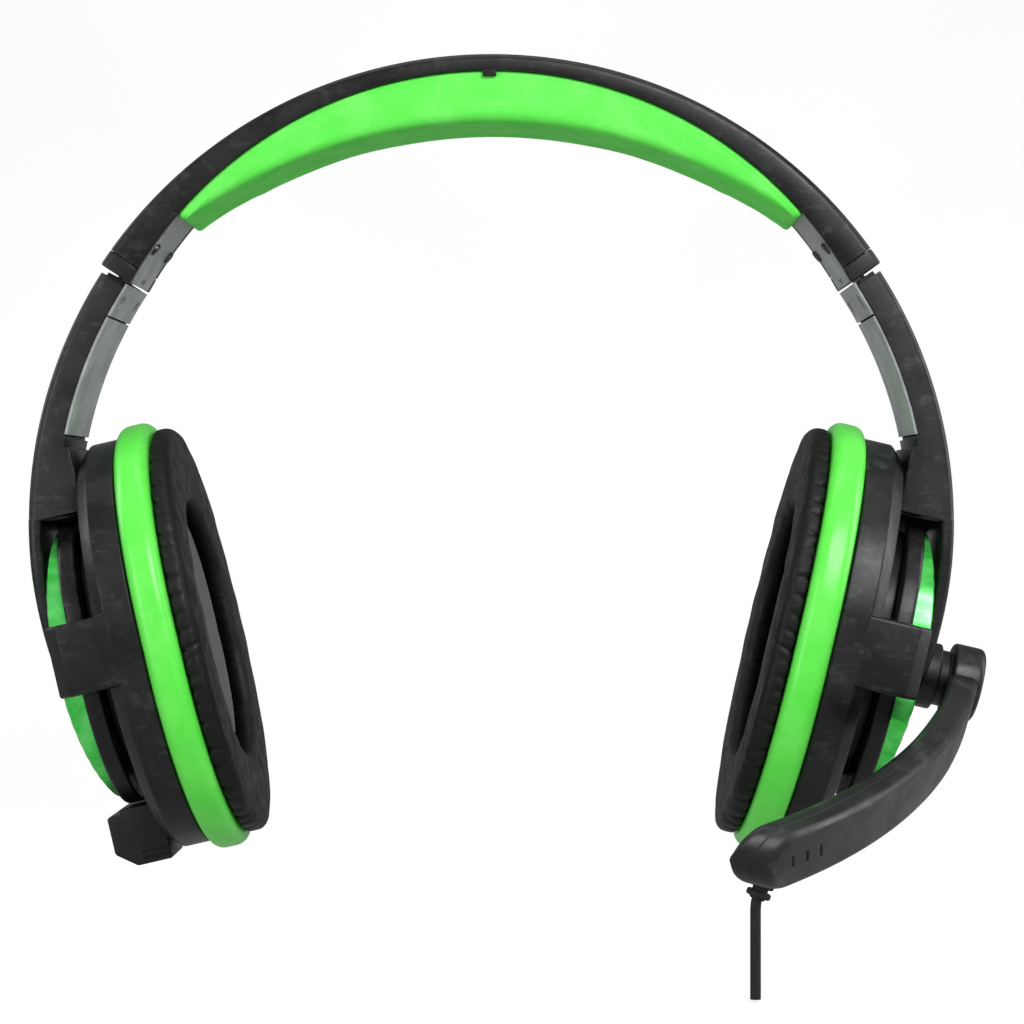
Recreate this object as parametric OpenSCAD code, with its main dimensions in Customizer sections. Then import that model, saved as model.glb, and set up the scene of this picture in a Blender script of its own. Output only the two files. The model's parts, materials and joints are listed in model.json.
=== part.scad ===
// Over-ear gaming headset with sliding arms, tilting ear cups and a swinging microphone boom.
// Frame: origin at the centre of the headband's outer arc, +Z up, -Y forward (the way the wearer faces),
// +X towards the wearer's left ear. The left side is modelled and the right side is its mirror image.

/* [Headband] */
// Outer radius of the headband
band_r = 104; // [103.5:0.1:105]
// Width of the headband, front to back
band_w = 31; // [30.5:0.1:33]
// Angle from the top of the arch to the end of the headband
band_end = 56.5; // [55.5:0.5:57]
// Radius of the arc on the inner side of the headband
band_inner_r = 91.6; // [91.4:0.1:91.8]
// Height of that arc's centre above the origin
band_inner_z = 8.6; // [8.4:0.1:8.8]
// Radius of the arc under the head pad
pad_r = 118; // [116:0.5:121]
// Lowest point of that arc
pad_low_z = 88.4; // [88:0.2:89.4]

/* [Arms] */
// Outer radius of both arms, on the headband's centre
arm_r = 103; // [102.8:0.1:103.2]
// Width of each arm, front to back
arm_w = 30; // [28:0.5:31]
// Radial thickness of each arm
arm_t = 6.9; // [6.8:0.1:7.1]
// Open gap between the headband's end and the arm at the shortest setting, in degrees
arm_gap = 0.8; // [0.7:0.1:1.2]
// Width of the steel slider strip
strip_w = 16; // [14:0.5:16.5]
// Thickness of the steel slider strip
strip_t = 1; // [0.8:0.1:1.1]

/* [Ear cups] */
// Distance from the middle plane to the centre of each ear cup's trim ring
cup_x = 70.5; // [70.3:0.1:70.7]
// Height of that centre, below the origin
cup_z = -26.1; // [-26.3:0.1:-25.9]
// Lean of the ear cups at rest: the top leans outwards
cup_tilt = 13.2; // [13:0.1:13.4]
// Radius of the housing's round ends
cup_r = 42.3; // [42:0.1:42.6]
// Half the straight run that makes the cup taller than it is wide
cup_half = 4.5; // [4:0.5:4.8]
// Outer radius of the green trim ring
ring_r = 44.6; // [44.2:0.1:44.8]
// Width of the trim ring
ring_w = 7.7; // [7.4:0.1:7.8]
// Outer radius of the ear cushion
cushion_r = 42.8; // [42.4:0.1:43.2]
// Radius of the ear opening
ear_r = 24; // [22:0.5:26]
// Distance from the ring's centre plane to the face of the cushion
cushion_face = 10.4; // [10.3:0.1:12]

/* [Microphone] */
// Angle of the boom below the cup's forward direction at rest
boom_drop = 18; // [16:1:20]
// Radius of the curve that the boom follows
boom_r = 238; // [232:1:244]
// Length of the boom, from its pivot to its tip
boom_len = 123.5; // [118:0.5:126]
// Width of the boom
boom_w = 12.4; // [11.8:0.2:13]
// Width of the boom where it leaves the pivot
boom_root_w = 8.4; // [8:0.2:9]
// Thickness of the boom
boom_t = 6.6; // [6.4:0.2:7]

/* [Cable] */
// Diameter of the cable
cable_d = 2.5; // [2.2:0.1:2.8]
// Height at which the cable is cut
cable_end_z = -108.4; // [-120:0.1:-104]

/* [Hidden] */
$fn = 96;
eps = 0.05;

// Headband
wall = 2;                            // side walls of the headband and of the arms
band_hollow_r = arm_r - 2.3;         // outer limit of the hollow in the headband
cover_t = 0.8;                       // headband inner cover
cap_len = 2.2;                       // degrees taken by each end cap
shell_end = band_end - cap_len;
band_screw_a = 50.9;                 // angle of the inner cover's screws
band_screw_y = 10.6;
band_screw_r = 96.65;                // top of their heads
spring_w = 12;
spring_r = [arm_r - 2.25, arm_r - 1.55];
wire_r = 0.45;
link_wire_r = arm_r - 1.85;
link_wire_y = 9;
pad_w = band_w - 1;
pad_end = 45.7;                      // angle of the pad's blunt ends

// Slider
strip_r = arm_r - 3.8;               // inner face of the slider strip
strip_start = 37.5;
strip_end = 67;
slot_gap = 0.3;
arm_start = band_end + arm_gap;
clamp_end = arm_start + 4.3;
liner_end = 78.6;
arm_in_r = arm_r - arm_t;
arm_hollow_r = arm_r - 2.5;
channel_w = arm_w - 2 * wall - 0.4;  // width of the channel along the inside of the arm
lining_t = 0.75;                     // visible plate of the arm's lining
lining_w = arm_w - 0.4;
liner_top_r = arm_in_r + 2;
end_gap = 0.3;                       // degrees left between the headband's end and the arm's boss
clamp_screw_a = (arm_start + clamp_end) / 2;
clamp_screw_y = 10.2;
notch_pitch = 2;                     // degrees between the strip's detent notches

// Ear cup, measured along the cup's outward axis from the ring's centre plane
rim_n = 3;                           // front edge of the housing
ring_n = rim_n - 0.1 - ring_w / 2;   // middle of the trim ring
ring_round = 2.6;
ring_in_r = 39;
back_n = 12;                         // back face of the housing
back_wall = 2;
cup_wall = 2.2;
neck_r = 24;
cover_n = 16.2;                      // inner face of the back cover
plate_n = 20.4;                      // inner face of the decor plate
cover_r = 28;
plate_r = 26;
cover_half = 5;
cover_u = -1.5;                      // centre of the back cover, along the cup's height
dome_r = 150;                        // curve of the decor plate
dome_n = 25.2;                       // top of that curve
lug_half = 7.8;
lug_u = 1;
lug_y = cup_r + 0.2;
lug_n = 23;
lug_chamfer = 2.8;
rim_chamfer = 2.6;                   // outer edge of the housing
baffle_n = -4.8;
baffle_t = 2.4;
driver_n = baffle_n + baffle_t;      // seat of the driver on the baffle
cushion_back = -4.95;
cushion_round = 2.7;
driver_r = 24.5;
boss_y = 25;
boss_u = 26;
cover_screw_y = 14.5;
cover_screw_u = 15;
screw_r = 1.1;

// Tilt hinge between arm and cup
pivot_n = 18.3;
tilt_pin_r = 1.4;
tilt_pin_half = 19;
knuckle_r = 2.9;
knuckle_half = 8;
pocket_r = 13.8;
pocket_drop = 1.4;
pocket_n = cover_n - 1;
bracket_n = 12.7;
bracket_u = [32.4, 46.5];
lip = [10.5, 2.6, 3];                // rear lip under the bracket: along the cup's axis, back, down
spine_r = arm_r - 3;
spine_end_r = 13;
running_gap = 0.05;

// Microphone, measured along the cup's outward axis
mic_n = [34, 41.2];
mic_u = -2;
mic_base_r = 8.5;
mic_hub_r = 7.5;
mic_hub_n = 33.6;
mic_pin_r = 2.5;
boom_centre = [-20.8, -199.8];       // centre of the boom's curve: along the boom, along the cup's axis
boom_taper = 42;                     // the boom is at full width from here on
capsule_r = 3;

// Cable, measured in the left cup's frame
boot_n = 5.3;
boot_lean = 7;                       // the boot leans further inwards than the cup
boot_len = 13.6;
cable_bend = 0.8;                    // the cable turns straight down this far below the boot

// ---- Frames and shared shapes ----

// side = 1 for the wearer's left, -1 for the right
module side(s) {
    if (s > 0) children();
    else mirror([1, 0, 0]) children();
}

// The ear cup's own frame: X outwards, Y backwards, Z up along the cup
module cup_frame() {
    translate([cup_x, 0, cup_z]) rotate([0, cup_tilt, 0]) children();
}

// In the cup's frame, turns a shape's Z to point outwards and its X to point down
module outwards() {
    rotate([0, 90, 0]) children();
}

// Sweeps a profile (radius, width) around the headband's centre, between two angles from the arch's top
module arc(a0, a1) {
    rotate([90, 0, 0]) rotate([0, 0, 90 - a1]) rotate_extrude(angle = a1 - a0) children();
}

// A bar along Y through the headband's plane, at a height above the origin
module crossbar(r, z, w) {
    translate([0, 0, z]) rotate([90, 0, 0]) cylinder(r = r, h = w, center = true, $fn = 360);
}

module band_profile(r0, r1, w, chamfer) {
    polygon([[r0, -w / 2], [r1 - chamfer, -w / 2], [r1, -w / 2 + chamfer],
             [r1, w / 2 - chamfer], [r1 - chamfer, w / 2], [r0, w / 2]]);
}

module slab(r0, r1, w) {
    translate([r0, -w / 2]) square([r1 - r0, w]);
}

// Places children on a radius of the headband's arc: Z points away from the centre
module on_arc(a, r, y) {
    rotate([0, a, 0]) translate([0, y, r]) children();
}

// Sweeps a profile (radius, width) around an oval: two half turns and two straight runs along X
module oval_sweep(half) {
    for (s = [-1, 1]) {
        translate([s * half, 0, 0]) rotate([0, 0, -90 * s]) rotate_extrude(angle = 180) children();
        scale([1, s, 1]) translate([-half, 0, 0]) rotate([90, 0, 90]) linear_extrude(2 * half) children();
    }
}

module oval_prism(r, half, z0, z1) {
    for (s = [-1, 1]) translate([s * half, 0, z0]) cylinder(r = r, h = z1 - z0);
    translate([-half, -r, z0]) cube([2 * half, 2 * r, z1 - z0]);
}

module tube(r0, r1, z0, z1) {
    difference() {
        translate([0, 0, z0]) cylinder(r = r1, h = z1 - z0);
        translate([0, 0, z0 - 1]) cylinder(r = r0, h = z1 - z0 + 2);
    }
}

module rod(r, z0, z1) {
    translate([0, 0, z0]) cylinder(r = r, h = z1 - z0);
}

module corners(x, y) {
    for (sx = [-1, 1], sy = [-1, 1]) translate([sx * x, sy * y, 0]) children();
}

// ---- Headband ----

module headband_shell() {
    color("#242426") difference() {
        union() {
            difference() {
                arc(-shell_end, shell_end) band_profile(80, band_r, band_w, 1.2);
                arc(-shell_end - 1, shell_end + 1) slab(70, band_hollow_r, band_w - 2 * wall - 1);
                arc(-shell_end + 1, shell_end - 1) slab(90, spring_r[1] + eps, spring_w + 2 * eps);
            }
            for (a = [-1, 1], y = [-1, 1])
                on_arc(a * band_screw_a, band_hollow_r - 4.1, y * band_screw_y) rod(2.2, 0, 4.3);
        }
        crossbar(band_inner_r, band_inner_z, band_w + 2);
        intersection() {
            crossbar(band_inner_r + cover_t + eps, band_inner_z, band_w - 2 * wall - 1);
            arc(-shell_end - 1, shell_end + 1) slab(70, band_r, band_w);
        }
        arc(-shell_end + 3, shell_end - 3)
            translate([link_wire_r, link_wire_y]) circle(r = wire_r + eps);
        for (a = [-1, 1], y = [-1, 1])
            on_arc(a * band_screw_a, 0, y * band_screw_y) rod(0.95, arm_r - 7.5, band_r - 1.8);
    }
}

module headband_inner_cover() {
    cover_end = band_end - 0.1;
    color("#8d8f92") difference() {
        intersection() {
            crossbar(band_inner_r + cover_t, band_inner_z, band_w - 2 * wall - 1.2);
            arc(-cover_end, cover_end, $fn = 360) slab(80, band_hollow_r - eps, band_w);
        }
        crossbar(band_inner_r, band_inner_z, band_w + 2);
        for (a = [-1, 1], y = [-1, 1])
            on_arc(a * band_screw_a, 0, y * band_screw_y) rod(1, 90, 100);
    }
}

module headband_pad() {
    color("#4ceb46") intersection() {
        difference() {
            crossbar(band_inner_r - eps, band_inner_z, pad_w);
            crossbar(pad_r, pad_low_z - pad_r, pad_w + 2);
        }
        arc(-pad_end, pad_end) slab(70, band_r, pad_w + 2);
    }
}

module spring_band() {
    color("#9a9da1") arc(-shell_end + 2, shell_end - 2) slab(spring_r[0], spring_r[1], spring_w);
}

module end_cap() {
    color("#0c0c0d") difference() {
        arc(shell_end + 0.05, band_end) band_profile(85, band_r, band_w, 1.2);
        crossbar(band_inner_r, band_inner_z, band_w + 2);
        crossbar(band_inner_r + cover_t + eps, band_inner_z, band_w - 2 * wall - 1);
        arc(shell_end - 1, band_end + 1)
            slab(strip_r - slot_gap, strip_r + strip_t + slot_gap, strip_w + 2 * slot_gap);
    }
}

module headband_screws() {
    color("#3a3a3c") for (a = [-1, 1], y = [-1, 1]) on_arc(a * band_screw_a, 0, y * band_screw_y) {
        rod(0.9, band_screw_r - 0.05, band_r - 2);
        rod(1.5, band_screw_r - 0.65, band_screw_r);
    }
}

// Leaf that presses a small round detent into the strip's notches
module detent_spring() {
    color("#b4b6b8") {
        arc(44, 49.5) slab(strip_r + strip_t + 0.15, strip_r + strip_t + 0.4, 4);
    }
}

module link_wire() {
    color("#303032") arc(-shell_end + 5, shell_end - 5)
        translate([link_wire_r, link_wire_y]) circle(r = wire_r);
}

// ---- Arms ----

module arm() {
    color("#29292b") difference() {
        intersection() {
            rotate([90, 0, 0]) rotate_extrude($fn = 240) arm_rim_profile();
            union() {
                arc(arm_start, liner_end + 6) slab(arm_in_r, arm_r + 5, arm_w + 4);
                arc(band_end + end_gap, arm_start + 0.5) slab(arm_in_r + 1.5, arm_r - 1.4, arm_w - 2.6);
                bracket();
                spine();
            }
        }
        arc(band_end - 1, liner_end + 0.3) slab(arm_in_r - 1.5, arm_in_r + lining_t + eps, arm_w + 6);
        arc(clamp_end, liner_end) slab(arm_in_r - 1, arm_hollow_r, channel_w);
        arc(arm_start - 1, clamp_end + eps) slab(arm_in_r - 1, strip_r - 0.1, channel_w - 0.5);
        arc(arm_start - 1, strip_end + 1)
            slab(strip_r - eps, strip_r + strip_t + eps, strip_w + 2 * eps);
        for (y = [-1, 1])
            on_arc(clamp_screw_a, 0, y * clamp_screw_y) rod(0.95, strip_r - 1, arm_r - 1);
        cup_frame() translate([pivot_n, 0, 0]) rotate([90, 0, 0])
            cylinder(r = tilt_pin_r + running_gap, h = 40, center = true);
    }
}

// Half section of a disc that gives the whole arm one outer face and one chamfer
module arm_rim_profile() {
    chamfer = 1.2;
    polygon([[0, -arm_w / 2], [arm_r - chamfer, -arm_w / 2], [arm_r, -arm_w / 2 + chamfer],
             [arm_r, arm_w / 2 - chamfer], [arm_r - chamfer, arm_w / 2], [0, arm_w / 2]]);
}

// Thick root of the arm, nested over the top of the cup
module bracket() {
    cup_frame() {
        translate([bracket_n, -arm_w / 2 - 2, bracket_u[0]])
            cube([30, arm_w + 4, bracket_u[1] - bracket_u[0]]);
        translate([bracket_n + 0.3, arm_w / 2 - lip[1], bracket_u[0] - lip[2]])
            cube([lip[0], lip[1] + 2, lip[2] + 1]);
    }
}

// Thin tongue that runs down the outside of the cup to the hinge
module spine() {
    difference() {
        cup_frame() translate([15, 0, 0]) {
            outwards() cylinder(r = spine_end_r, h = 25);
            rotate([90, 0, 90]) linear_extrude(25)
                polygon([[-spine_end_r, 0], [spine_end_r, 0], [arm_w / 2 + 1, 33], [arm_w / 2 + 1, 45],
                         [-arm_w / 2 - 1, 45], [-arm_w / 2 - 1, 33]]);
        }
        crossbar(spine_r, 0, arm_w + 8);
    }
    cup_frame() {
        translate([pivot_n, 0, 0]) rotate([90, 0, 0])
            cylinder(r = knuckle_r, h = 2 * knuckle_half, center = true);
        translate([pivot_n, -knuckle_half, -knuckle_r + 0.5])
            cube([7.2, 2 * knuckle_half, 2 * knuckle_r - 1]);
    }
}

// Section of a lining: a plate across the arm's inner face and the narrower plug behind it
module lining_profile(top_r, plug_w) {
    step_r = arm_in_r + lining_t;
    polygon([[arm_in_r, -lining_w / 2], [step_r, -lining_w / 2], [step_r, -plug_w / 2], [top_r, -plug_w / 2],
             [top_r, plug_w / 2], [step_r, plug_w / 2], [step_r, lining_w / 2], [arm_in_r, lining_w / 2]]);
}

module arm_liner() {
    color("#a3a5a8") arc(clamp_end + 0.25, liner_end - 0.2) lining_profile(liner_top_r, channel_w - 0.2);
}

module slider_clamp() {
    color("#97999c") difference() {
        arc(band_end + end_gap, clamp_end) lining_profile(strip_r - 0.15, channel_w - 0.8);
        for (y = [-1, 1])
            on_arc(clamp_screw_a, 0, y * clamp_screw_y) {
                rod(1, arm_in_r - 1, strip_r + 1);
                rod(1.9, arm_in_r - 1, arm_in_r + 1.6);
            }
    }
}

module slider_strip() {
    color("#b9bbbe") difference() {
        arc(strip_start, strip_end) slab(strip_r, strip_r + strip_t, strip_w);
        for (i = [0 : 7], y = [-1, 1])
            on_arc(strip_start + 3 + i * notch_pitch, strip_r - 1, y * strip_w / 2) rod(0.8, 0, 4);
    }
}

module clamp_screws() {
    color("#4a4a4c") for (y = [-1, 1]) on_arc(clamp_screw_a, 0, y * clamp_screw_y) {
        rod(0.9, arm_in_r + 1.5, arm_r - 1.2);
        rod(1.8, arm_in_r + 0.5, arm_in_r + 1.55);
    }
}

// ---- Ear cups ----

module housing(cable_hole) {
    color("#1f1f21") cup_frame() difference() {
        union() {
            outwards() difference() {
                oval_sweep(cup_half) polygon([
                    [0, back_n - back_wall], [cup_r - cup_wall, back_n - back_wall],
                    [cup_r - cup_wall, rim_n], [cup_r, rim_n],
                    [cup_r, back_n - rim_chamfer], [cup_r - rim_chamfer, back_n],
                    [neck_r, back_n], [neck_r, cover_n - 0.05], [0, cover_n - 0.05]]);
            }
            outwards() corners(boss_u, boss_y) rod(3, driver_n + 0.05, back_n - 1);
            for (s = [-1, 1]) scale([1, s, 1]) lug();
        }
        outwards() {
            corners(boss_u, boss_y) rod(screw_r, baffle_n + 1, 7);
            corners(cover_screw_u, cover_screw_y) rod(screw_r + eps, back_n - 4, cover_n + 2);
            pocket(pocket_n);
        }
        if (cable_hole) boot_frame() rod(1.6, -1, 6);
    }
}

// Block that bridges the housing and the back cover at mid height
module lug() {
    translate([0, 0, lug_u - lug_half]) linear_extrude(2 * lug_half)
        polygon([[9, cup_r - 1.5], [9, lug_y], [lug_n - lug_chamfer, lug_y], [lug_n, lug_y - lug_chamfer],
                 [lug_n, cover_r + 0.2], [back_n - 1.5, cover_r + 0.2], [back_n - 1.5, cup_r - 1.5]]);
}

module trim_ring() {
    color("#46e63f") cup_frame() outwards() oval_sweep(cup_half) {
        flat = ring_w / 2 - ring_round;
        translate([ring_in_r, ring_n - ring_w / 2]) square([ring_r - ring_round - ring_in_r, ring_w]);
        translate([ring_in_r, ring_n - flat]) square([ring_r - ring_in_r, 2 * flat]);
        for (n = [ring_n - flat, ring_n + flat]) translate([ring_r - ring_round, n]) circle(r = ring_round);
    }
}

module baffle() {
    color("#2c2c2e") cup_frame() outwards() difference() {
        oval_prism(ring_in_r - 0.1, cup_half, baffle_n, driver_n);
        rod(driver_r - 1.5, baffle_n - 1, 2);
        corners(boss_u, boss_y) {
            rod(screw_r + 0.15, baffle_n - 1, 2);
            rod(2.3, baffle_n - 1, baffle_n + 1.3);
        }
    }
}

module baffle_screws() {
    color("#6d6e70") cup_frame() outwards() corners(boss_u, boss_y) {
        rod(screw_r - 0.05, baffle_n + 1.2, 6.5);
        rod(2.2, baffle_n + 0.1, baffle_n + 1.25);
    }
}

module driver_frame() {
    color("#1a1a1c") cup_frame() outwards() translate([0, 0, driver_n]) rotate_extrude()
        polygon([[driver_r - 3.5, 0.05], [driver_r, 0.05], [driver_r, 2], [13.2, 7], [10.2, 7],
                 [10.2, 5.6], [12.6, 5.6], [driver_r - 3.5, 1.7]]);
}

module driver_cone() {
    color("#c9b27a") cup_frame() outwards() translate([0, 0, driver_n]) rotate_extrude()
        polygon([[0, -0.8], [6, -1.1], [10, -0.4], [15, -0.8], [driver_r - 3.6, 0.05],
                 [driver_r - 3.6, 0.35], [15, -0.5], [10, -0.1], [6, -0.8], [0, -0.5]]);
}

module driver_magnet() {
    color("#8b8e92") cup_frame() outwards() translate([0, 0, driver_n]) {
        rod(10.1, 1.8, 8.4);
        rod(13.5, 7.05, 9);
    }
}

module ear_cushion() {
    color("#1b1a1c") cup_frame() outwards() oval_sweep(cup_half) {
        low = -cushion_face;
        depth = cushion_back - low;
        translate([ear_r + cushion_round, low]) square([cushion_r - ear_r - 2 * cushion_round, depth]);
        translate([ear_r, low + cushion_round]) square([cushion_r - ear_r, depth - cushion_round]);
        for (x = [ear_r + cushion_round, cushion_r - cushion_round])
            translate([x, low + cushion_round]) circle(r = cushion_round);
    }
}

module speaker_cloth() {
    color("#232225") cup_frame() outwards()
        oval_prism(ear_r - 0.3, cup_half, baffle_n - 0.9, baffle_n - 0.1);
}

// Recess for the end of the arm's spine, from a height along the cup's axis outwards
module pocket(floor_n) {
    for (x = [0, pocket_drop]) translate([x, 0, 0]) rod(pocket_r, floor_n, 40);
    translate([0, -pocket_r, floor_n]) cube([pocket_drop, 2 * pocket_r, 40 - floor_n]);
}

module back_cover() {
    color("#202022") cup_frame() difference() {
        translate([0, 0, cover_u]) outwards() oval_prism(cover_r, cover_half, cover_n, plate_n - eps);
        outwards() {
            pocket(pocket_n);
            corners(cover_screw_u, cover_screw_y) rod(screw_r + eps, 10, cover_n + 3.2);
        }
        translate([pivot_n, 0, 0]) rotate([90, 0, 0])
            cylinder(r = tilt_pin_r + 0.01, h = 2 * tilt_pin_half + 0.2, center = true);
    }
}

module decor_plate() {
    color("#38c943") cup_frame() difference() {
        intersection() {
            translate([0, 0, cover_u]) outwards() oval_prism(plate_r, cover_half, plate_n, plate_n + 10);
            translate([dome_n - dome_r, 0, cover_u]) rotate([90, 0, 0])
                cylinder(r = dome_r, h = 80, center = true, $fn = 256);
        }
        outwards() pocket(plate_n - 1);
    }
}

module cover_screws() {
    color("#6d6e70") cup_frame() outwards() corners(cover_screw_u, cover_screw_y) {
        rod(screw_r, back_n - back_wall - 0.1, cover_n + 3);
        rod(2, back_n - back_wall - 1.4, back_n - back_wall - 0.05);
    }
}

module tilt_pin() {
    color("#c2c4c7") cup_frame() translate([pivot_n, 0, 0]) rotate([90, 0, 0])
        cylinder(r = tilt_pin_r, h = 2 * tilt_pin_half, center = true);
}

module outlet_block(low_u) {
    block_n = [back_n + eps, 24.6];
    block_u = [low_u, -34.8];
    color("#161618") cup_frame() translate([0, 9, 0]) rotate([90, 0, 0]) linear_extrude(18)
        polygon([[block_n[0], block_u[0]], [block_n[1] - 4.5, block_u[0]], [block_n[1], block_u[0] + 3.5],
                 [block_n[1], block_u[1] - 1.2], [block_n[1] - 3, block_u[1] - 1.2],
                 [block_n[1] - 3, block_u[1]], [block_n[0], block_u[1]]]);
}

// ---- Microphone ----

module mic_frame() {
    cup_frame() translate([0, 0, mic_u]) children();
}

module mic_hub() {
    color("#171719") difference() {
        mic_frame() outwards() {
            rod(mic_hub_r, 25, mic_hub_n - 2.2);
            rod(mic_hub_r - 1.2, 25, mic_hub_n);
        }
        crossbar(arm_r + 0.02, 0, 60);
        mic_frame() outwards() rod(mic_pin_r + 0.02, 20, 40);
    }
}

module mic_pin() {
    color("#b5b7ba") mic_frame() outwards() {
        rod(mic_pin_r, 28.4, mic_n[0] + 2.55);
        rod(mic_pin_r + 1.4, mic_n[0] + 2.55, mic_n[0] + 4.4);
    }
}

module mic_washer() {
    color("#0e0e0f") mic_frame() outwards() tube(mic_pin_r + 0.1, 6, mic_hub_n + 0.02, mic_n[0] - 0.03);
}

module mic_base() {
    color("#2a2a2c") mic_frame() outwards() difference() {
        union() {
            rod(mic_base_r, mic_n[0], mic_n[1] - 1);
            translate([0, 0, mic_n[1] - 1]) cylinder(r1 = mic_base_r, r2 = mic_base_r - 1, h = 1);
        }
        rod(mic_pin_r + running_gap, mic_n[0] - 1, mic_n[1]);
        rod(mic_pin_r + 1.6, mic_n[0] + 2.5, mic_n[1] + 1);
        rod(5.6, mic_n[1] - 1.5, mic_n[1] + 1);
    }
}

module mic_cap() {
    color("#3b3b3e") mic_frame() outwards() rod(5.5, mic_n[1] - 1.45, mic_n[1] - 0.2);
}

// The boom's frame: X forwards along the boom, Y outwards, Z across its width
module boom_frame() {
    mic_frame() rotate([boom_drop, 0, 0]) rotate([0, 0, -90]) children();
}

// Part of the boom between two radii of its curve, with a round tip
module boom_band(r0, r1, w) {
    difference() {
        intersection() {
            translate([boom_centre[0], boom_centre[1], 0]) difference() {
                cylinder(r = r1, h = 2 * w, center = true, $fn = 360);
                cylinder(r = r0, h = 3 * w, center = true, $fn = 360);
            }
            rotate([90, 0, 0]) {
                translate([0, 0, -80]) linear_extrude(160) polygon([
                    [0, -boom_root_w / 2], [boom_taper, -w / 2], [boom_len - w / 2, -w / 2],
                    [boom_len - w / 2, w / 2], [boom_taper, w / 2], [0, boom_root_w / 2]]);
                translate([boom_len - w / 2, 0, -80]) cylinder(r = w / 2, h = 160);
            }
        }
        rotate([90, 0, 0]) translate([0, 0, -80]) cylinder(r = mic_base_r + 0.05, h = 160);
    }
}

module boom_channel() {
    translate([boom_centre[0], boom_centre[1], 0]) rotate([0, 0, 90 - 34.6]) rotate_extrude(angle = 25.1)
        translate([boom_r, 0]) circle(r = 1.4);
}

module capsule_place(d = 0) {
    tip = boom_len - boom_w / 2 - 1;
    turn = asin((tip - boom_centre[0]) / boom_r);
    translate([boom_centre[0], boom_centre[1], 0]) rotate([0, 0, -turn]) translate([0, boom_r + d, 0])
        rotate([90, 0, 0]) children();
}

module mic_boom() {
    color("#2d2d2f") boom_frame() difference() {
        boom_band(boom_r + 0.01, boom_r + boom_t / 2, boom_w);
        boom_channel();
        capsule_place() cylinder(r = capsule_r + 0.1, h = 4.4, center = true);
        for (i = [0 : 2]) translate([boom_len - 5.3 - 4.1 * i, 0, 0]) rotate([90, 0, 0])
            cylinder(r = 0.55, h = 80, center = true);
    }
}

module mic_boom_cover() {
    color("#232325") boom_frame() difference() {
        boom_band(boom_r - boom_t / 2, boom_r - 0.01, boom_w);
        boom_channel();
        capsule_place() cylinder(r = capsule_r + 0.1, h = 4.4, center = true);
        capsule_place() for (i = [0 : 5]) rotate([0, 0, 60 * i]) translate([1.6, 0, 0])
            cylinder(r = 0.45, h = 12);
    }
}

module mic_capsule() {
    color("#9fa1a4") boom_frame() capsule_place() cylinder(r = capsule_r, h = 4.2, center = true);
}

// ---- Cable ----

// The boot's frame: Z up along the boot, from the underside of the housing
module boot_frame() {
    translate([boot_n, 0, -(cup_r + cup_half)]) rotate([0, boot_lean, 0]) children();
}

module cable_boot() {
    color("#141415") cup_frame() boot_frame() difference() {
        union() {
            rod(1.55, -1, 3);
            rod(2.3, -1.7, -0.4);
            rod(1.8, -boot_len, -1);
            for (i = [0 : 4]) rod(2.9, -3.9 - 2.3 * i, -2.5 - 2.3 * i);
        }
        rod(cable_d / 2, -20, 5);
    }
}

// Where the cable leaves the boot, on the middle plane: [x, z]
function cable_exit() =
    let (lean = cup_tilt + boot_lean, base_u = -cup_r - cup_half, run = -boot_len - cable_bend)
    [cup_x + boot_n * cos(cup_tilt) + base_u * sin(cup_tilt) + run * sin(lean),
     cup_z - boot_n * sin(cup_tilt) + base_u * cos(cup_tilt) + run * cos(lean)];

module hanging_rod(r, y, top) {
    translate([cable_exit()[0], y, cable_end_z]) rod(r, 0, cable_exit()[1] - cable_end_z + top);
}

module cable() {
    color("#1d1d1f") difference() {
        union() {
            cup_frame() boot_frame() rod(cable_d / 2 - 0.04, -boot_len - cable_bend - 0.3, 1);
            hanging_rod(cable_d / 2 - 0.02, 0, 0.1);
        }
        for (y = [-0.5, 0.5]) hanging_rod(0.38, y, -2);
    }
}

module cable_cores() {
    color("#c98a4b") for (y = [-0.5, 0.5]) hanging_rod(0.34, y, -2.05);
}

headband_shell();
headband_inner_cover();
headband_pad();
spring_band();
side(1) end_cap();  // end_cap_left
side(-1) end_cap();  // end_cap_right
headband_screws();
side(1) detent_spring();  // detent_spring_left
side(-1) detent_spring();  // detent_spring_right
link_wire();
side(1) arm();  // arm_left
side(-1) arm();  // arm_right
side(1) arm_liner();  // arm_liner_left
side(-1) arm_liner();  // arm_liner_right
side(1) slider_clamp();  // slider_clamp_left
side(-1) slider_clamp();  // slider_clamp_right
side(1) slider_strip();  // slider_strip_left
side(-1) slider_strip();  // slider_strip_right
side(1) clamp_screws();  // clamp_screws_left
side(-1) clamp_screws();  // clamp_screws_right
side(1) housing(true);  // housing_left
side(-1) housing(false);  // housing_right
side(1) trim_ring();  // trim_ring_left
side(-1) trim_ring();  // trim_ring_right
side(1) baffle();  // baffle_left
side(-1) baffle();  // baffle_right
side(1) baffle_screws();  // baffle_screws_left
side(-1) baffle_screws();  // baffle_screws_right
side(1) driver_frame();  // driver_frame_left
side(-1) driver_frame();  // driver_frame_right
side(1) driver_cone();  // driver_cone_left
side(-1) driver_cone();  // driver_cone_right
side(1) driver_magnet();  // driver_magnet_left
side(-1) driver_magnet();  // driver_magnet_right
side(1) ear_cushion();  // ear_cushion_left
side(-1) ear_cushion();  // ear_cushion_right
side(1) speaker_cloth();  // speaker_cloth_left
side(-1) speaker_cloth();  // speaker_cloth_right
side(1) back_cover();  // back_cover_left
side(-1) back_cover();  // back_cover_right
side(1) decor_plate();  // decor_plate_left
side(-1) decor_plate();  // decor_plate_right
side(1) cover_screws();  // cover_screws_left
side(-1) cover_screws();  // cover_screws_right
side(1) tilt_pin();  // tilt_pin_left
side(-1) tilt_pin();  // tilt_pin_right
side(1) outlet_block(-44.5);  // outlet_block_left
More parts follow.
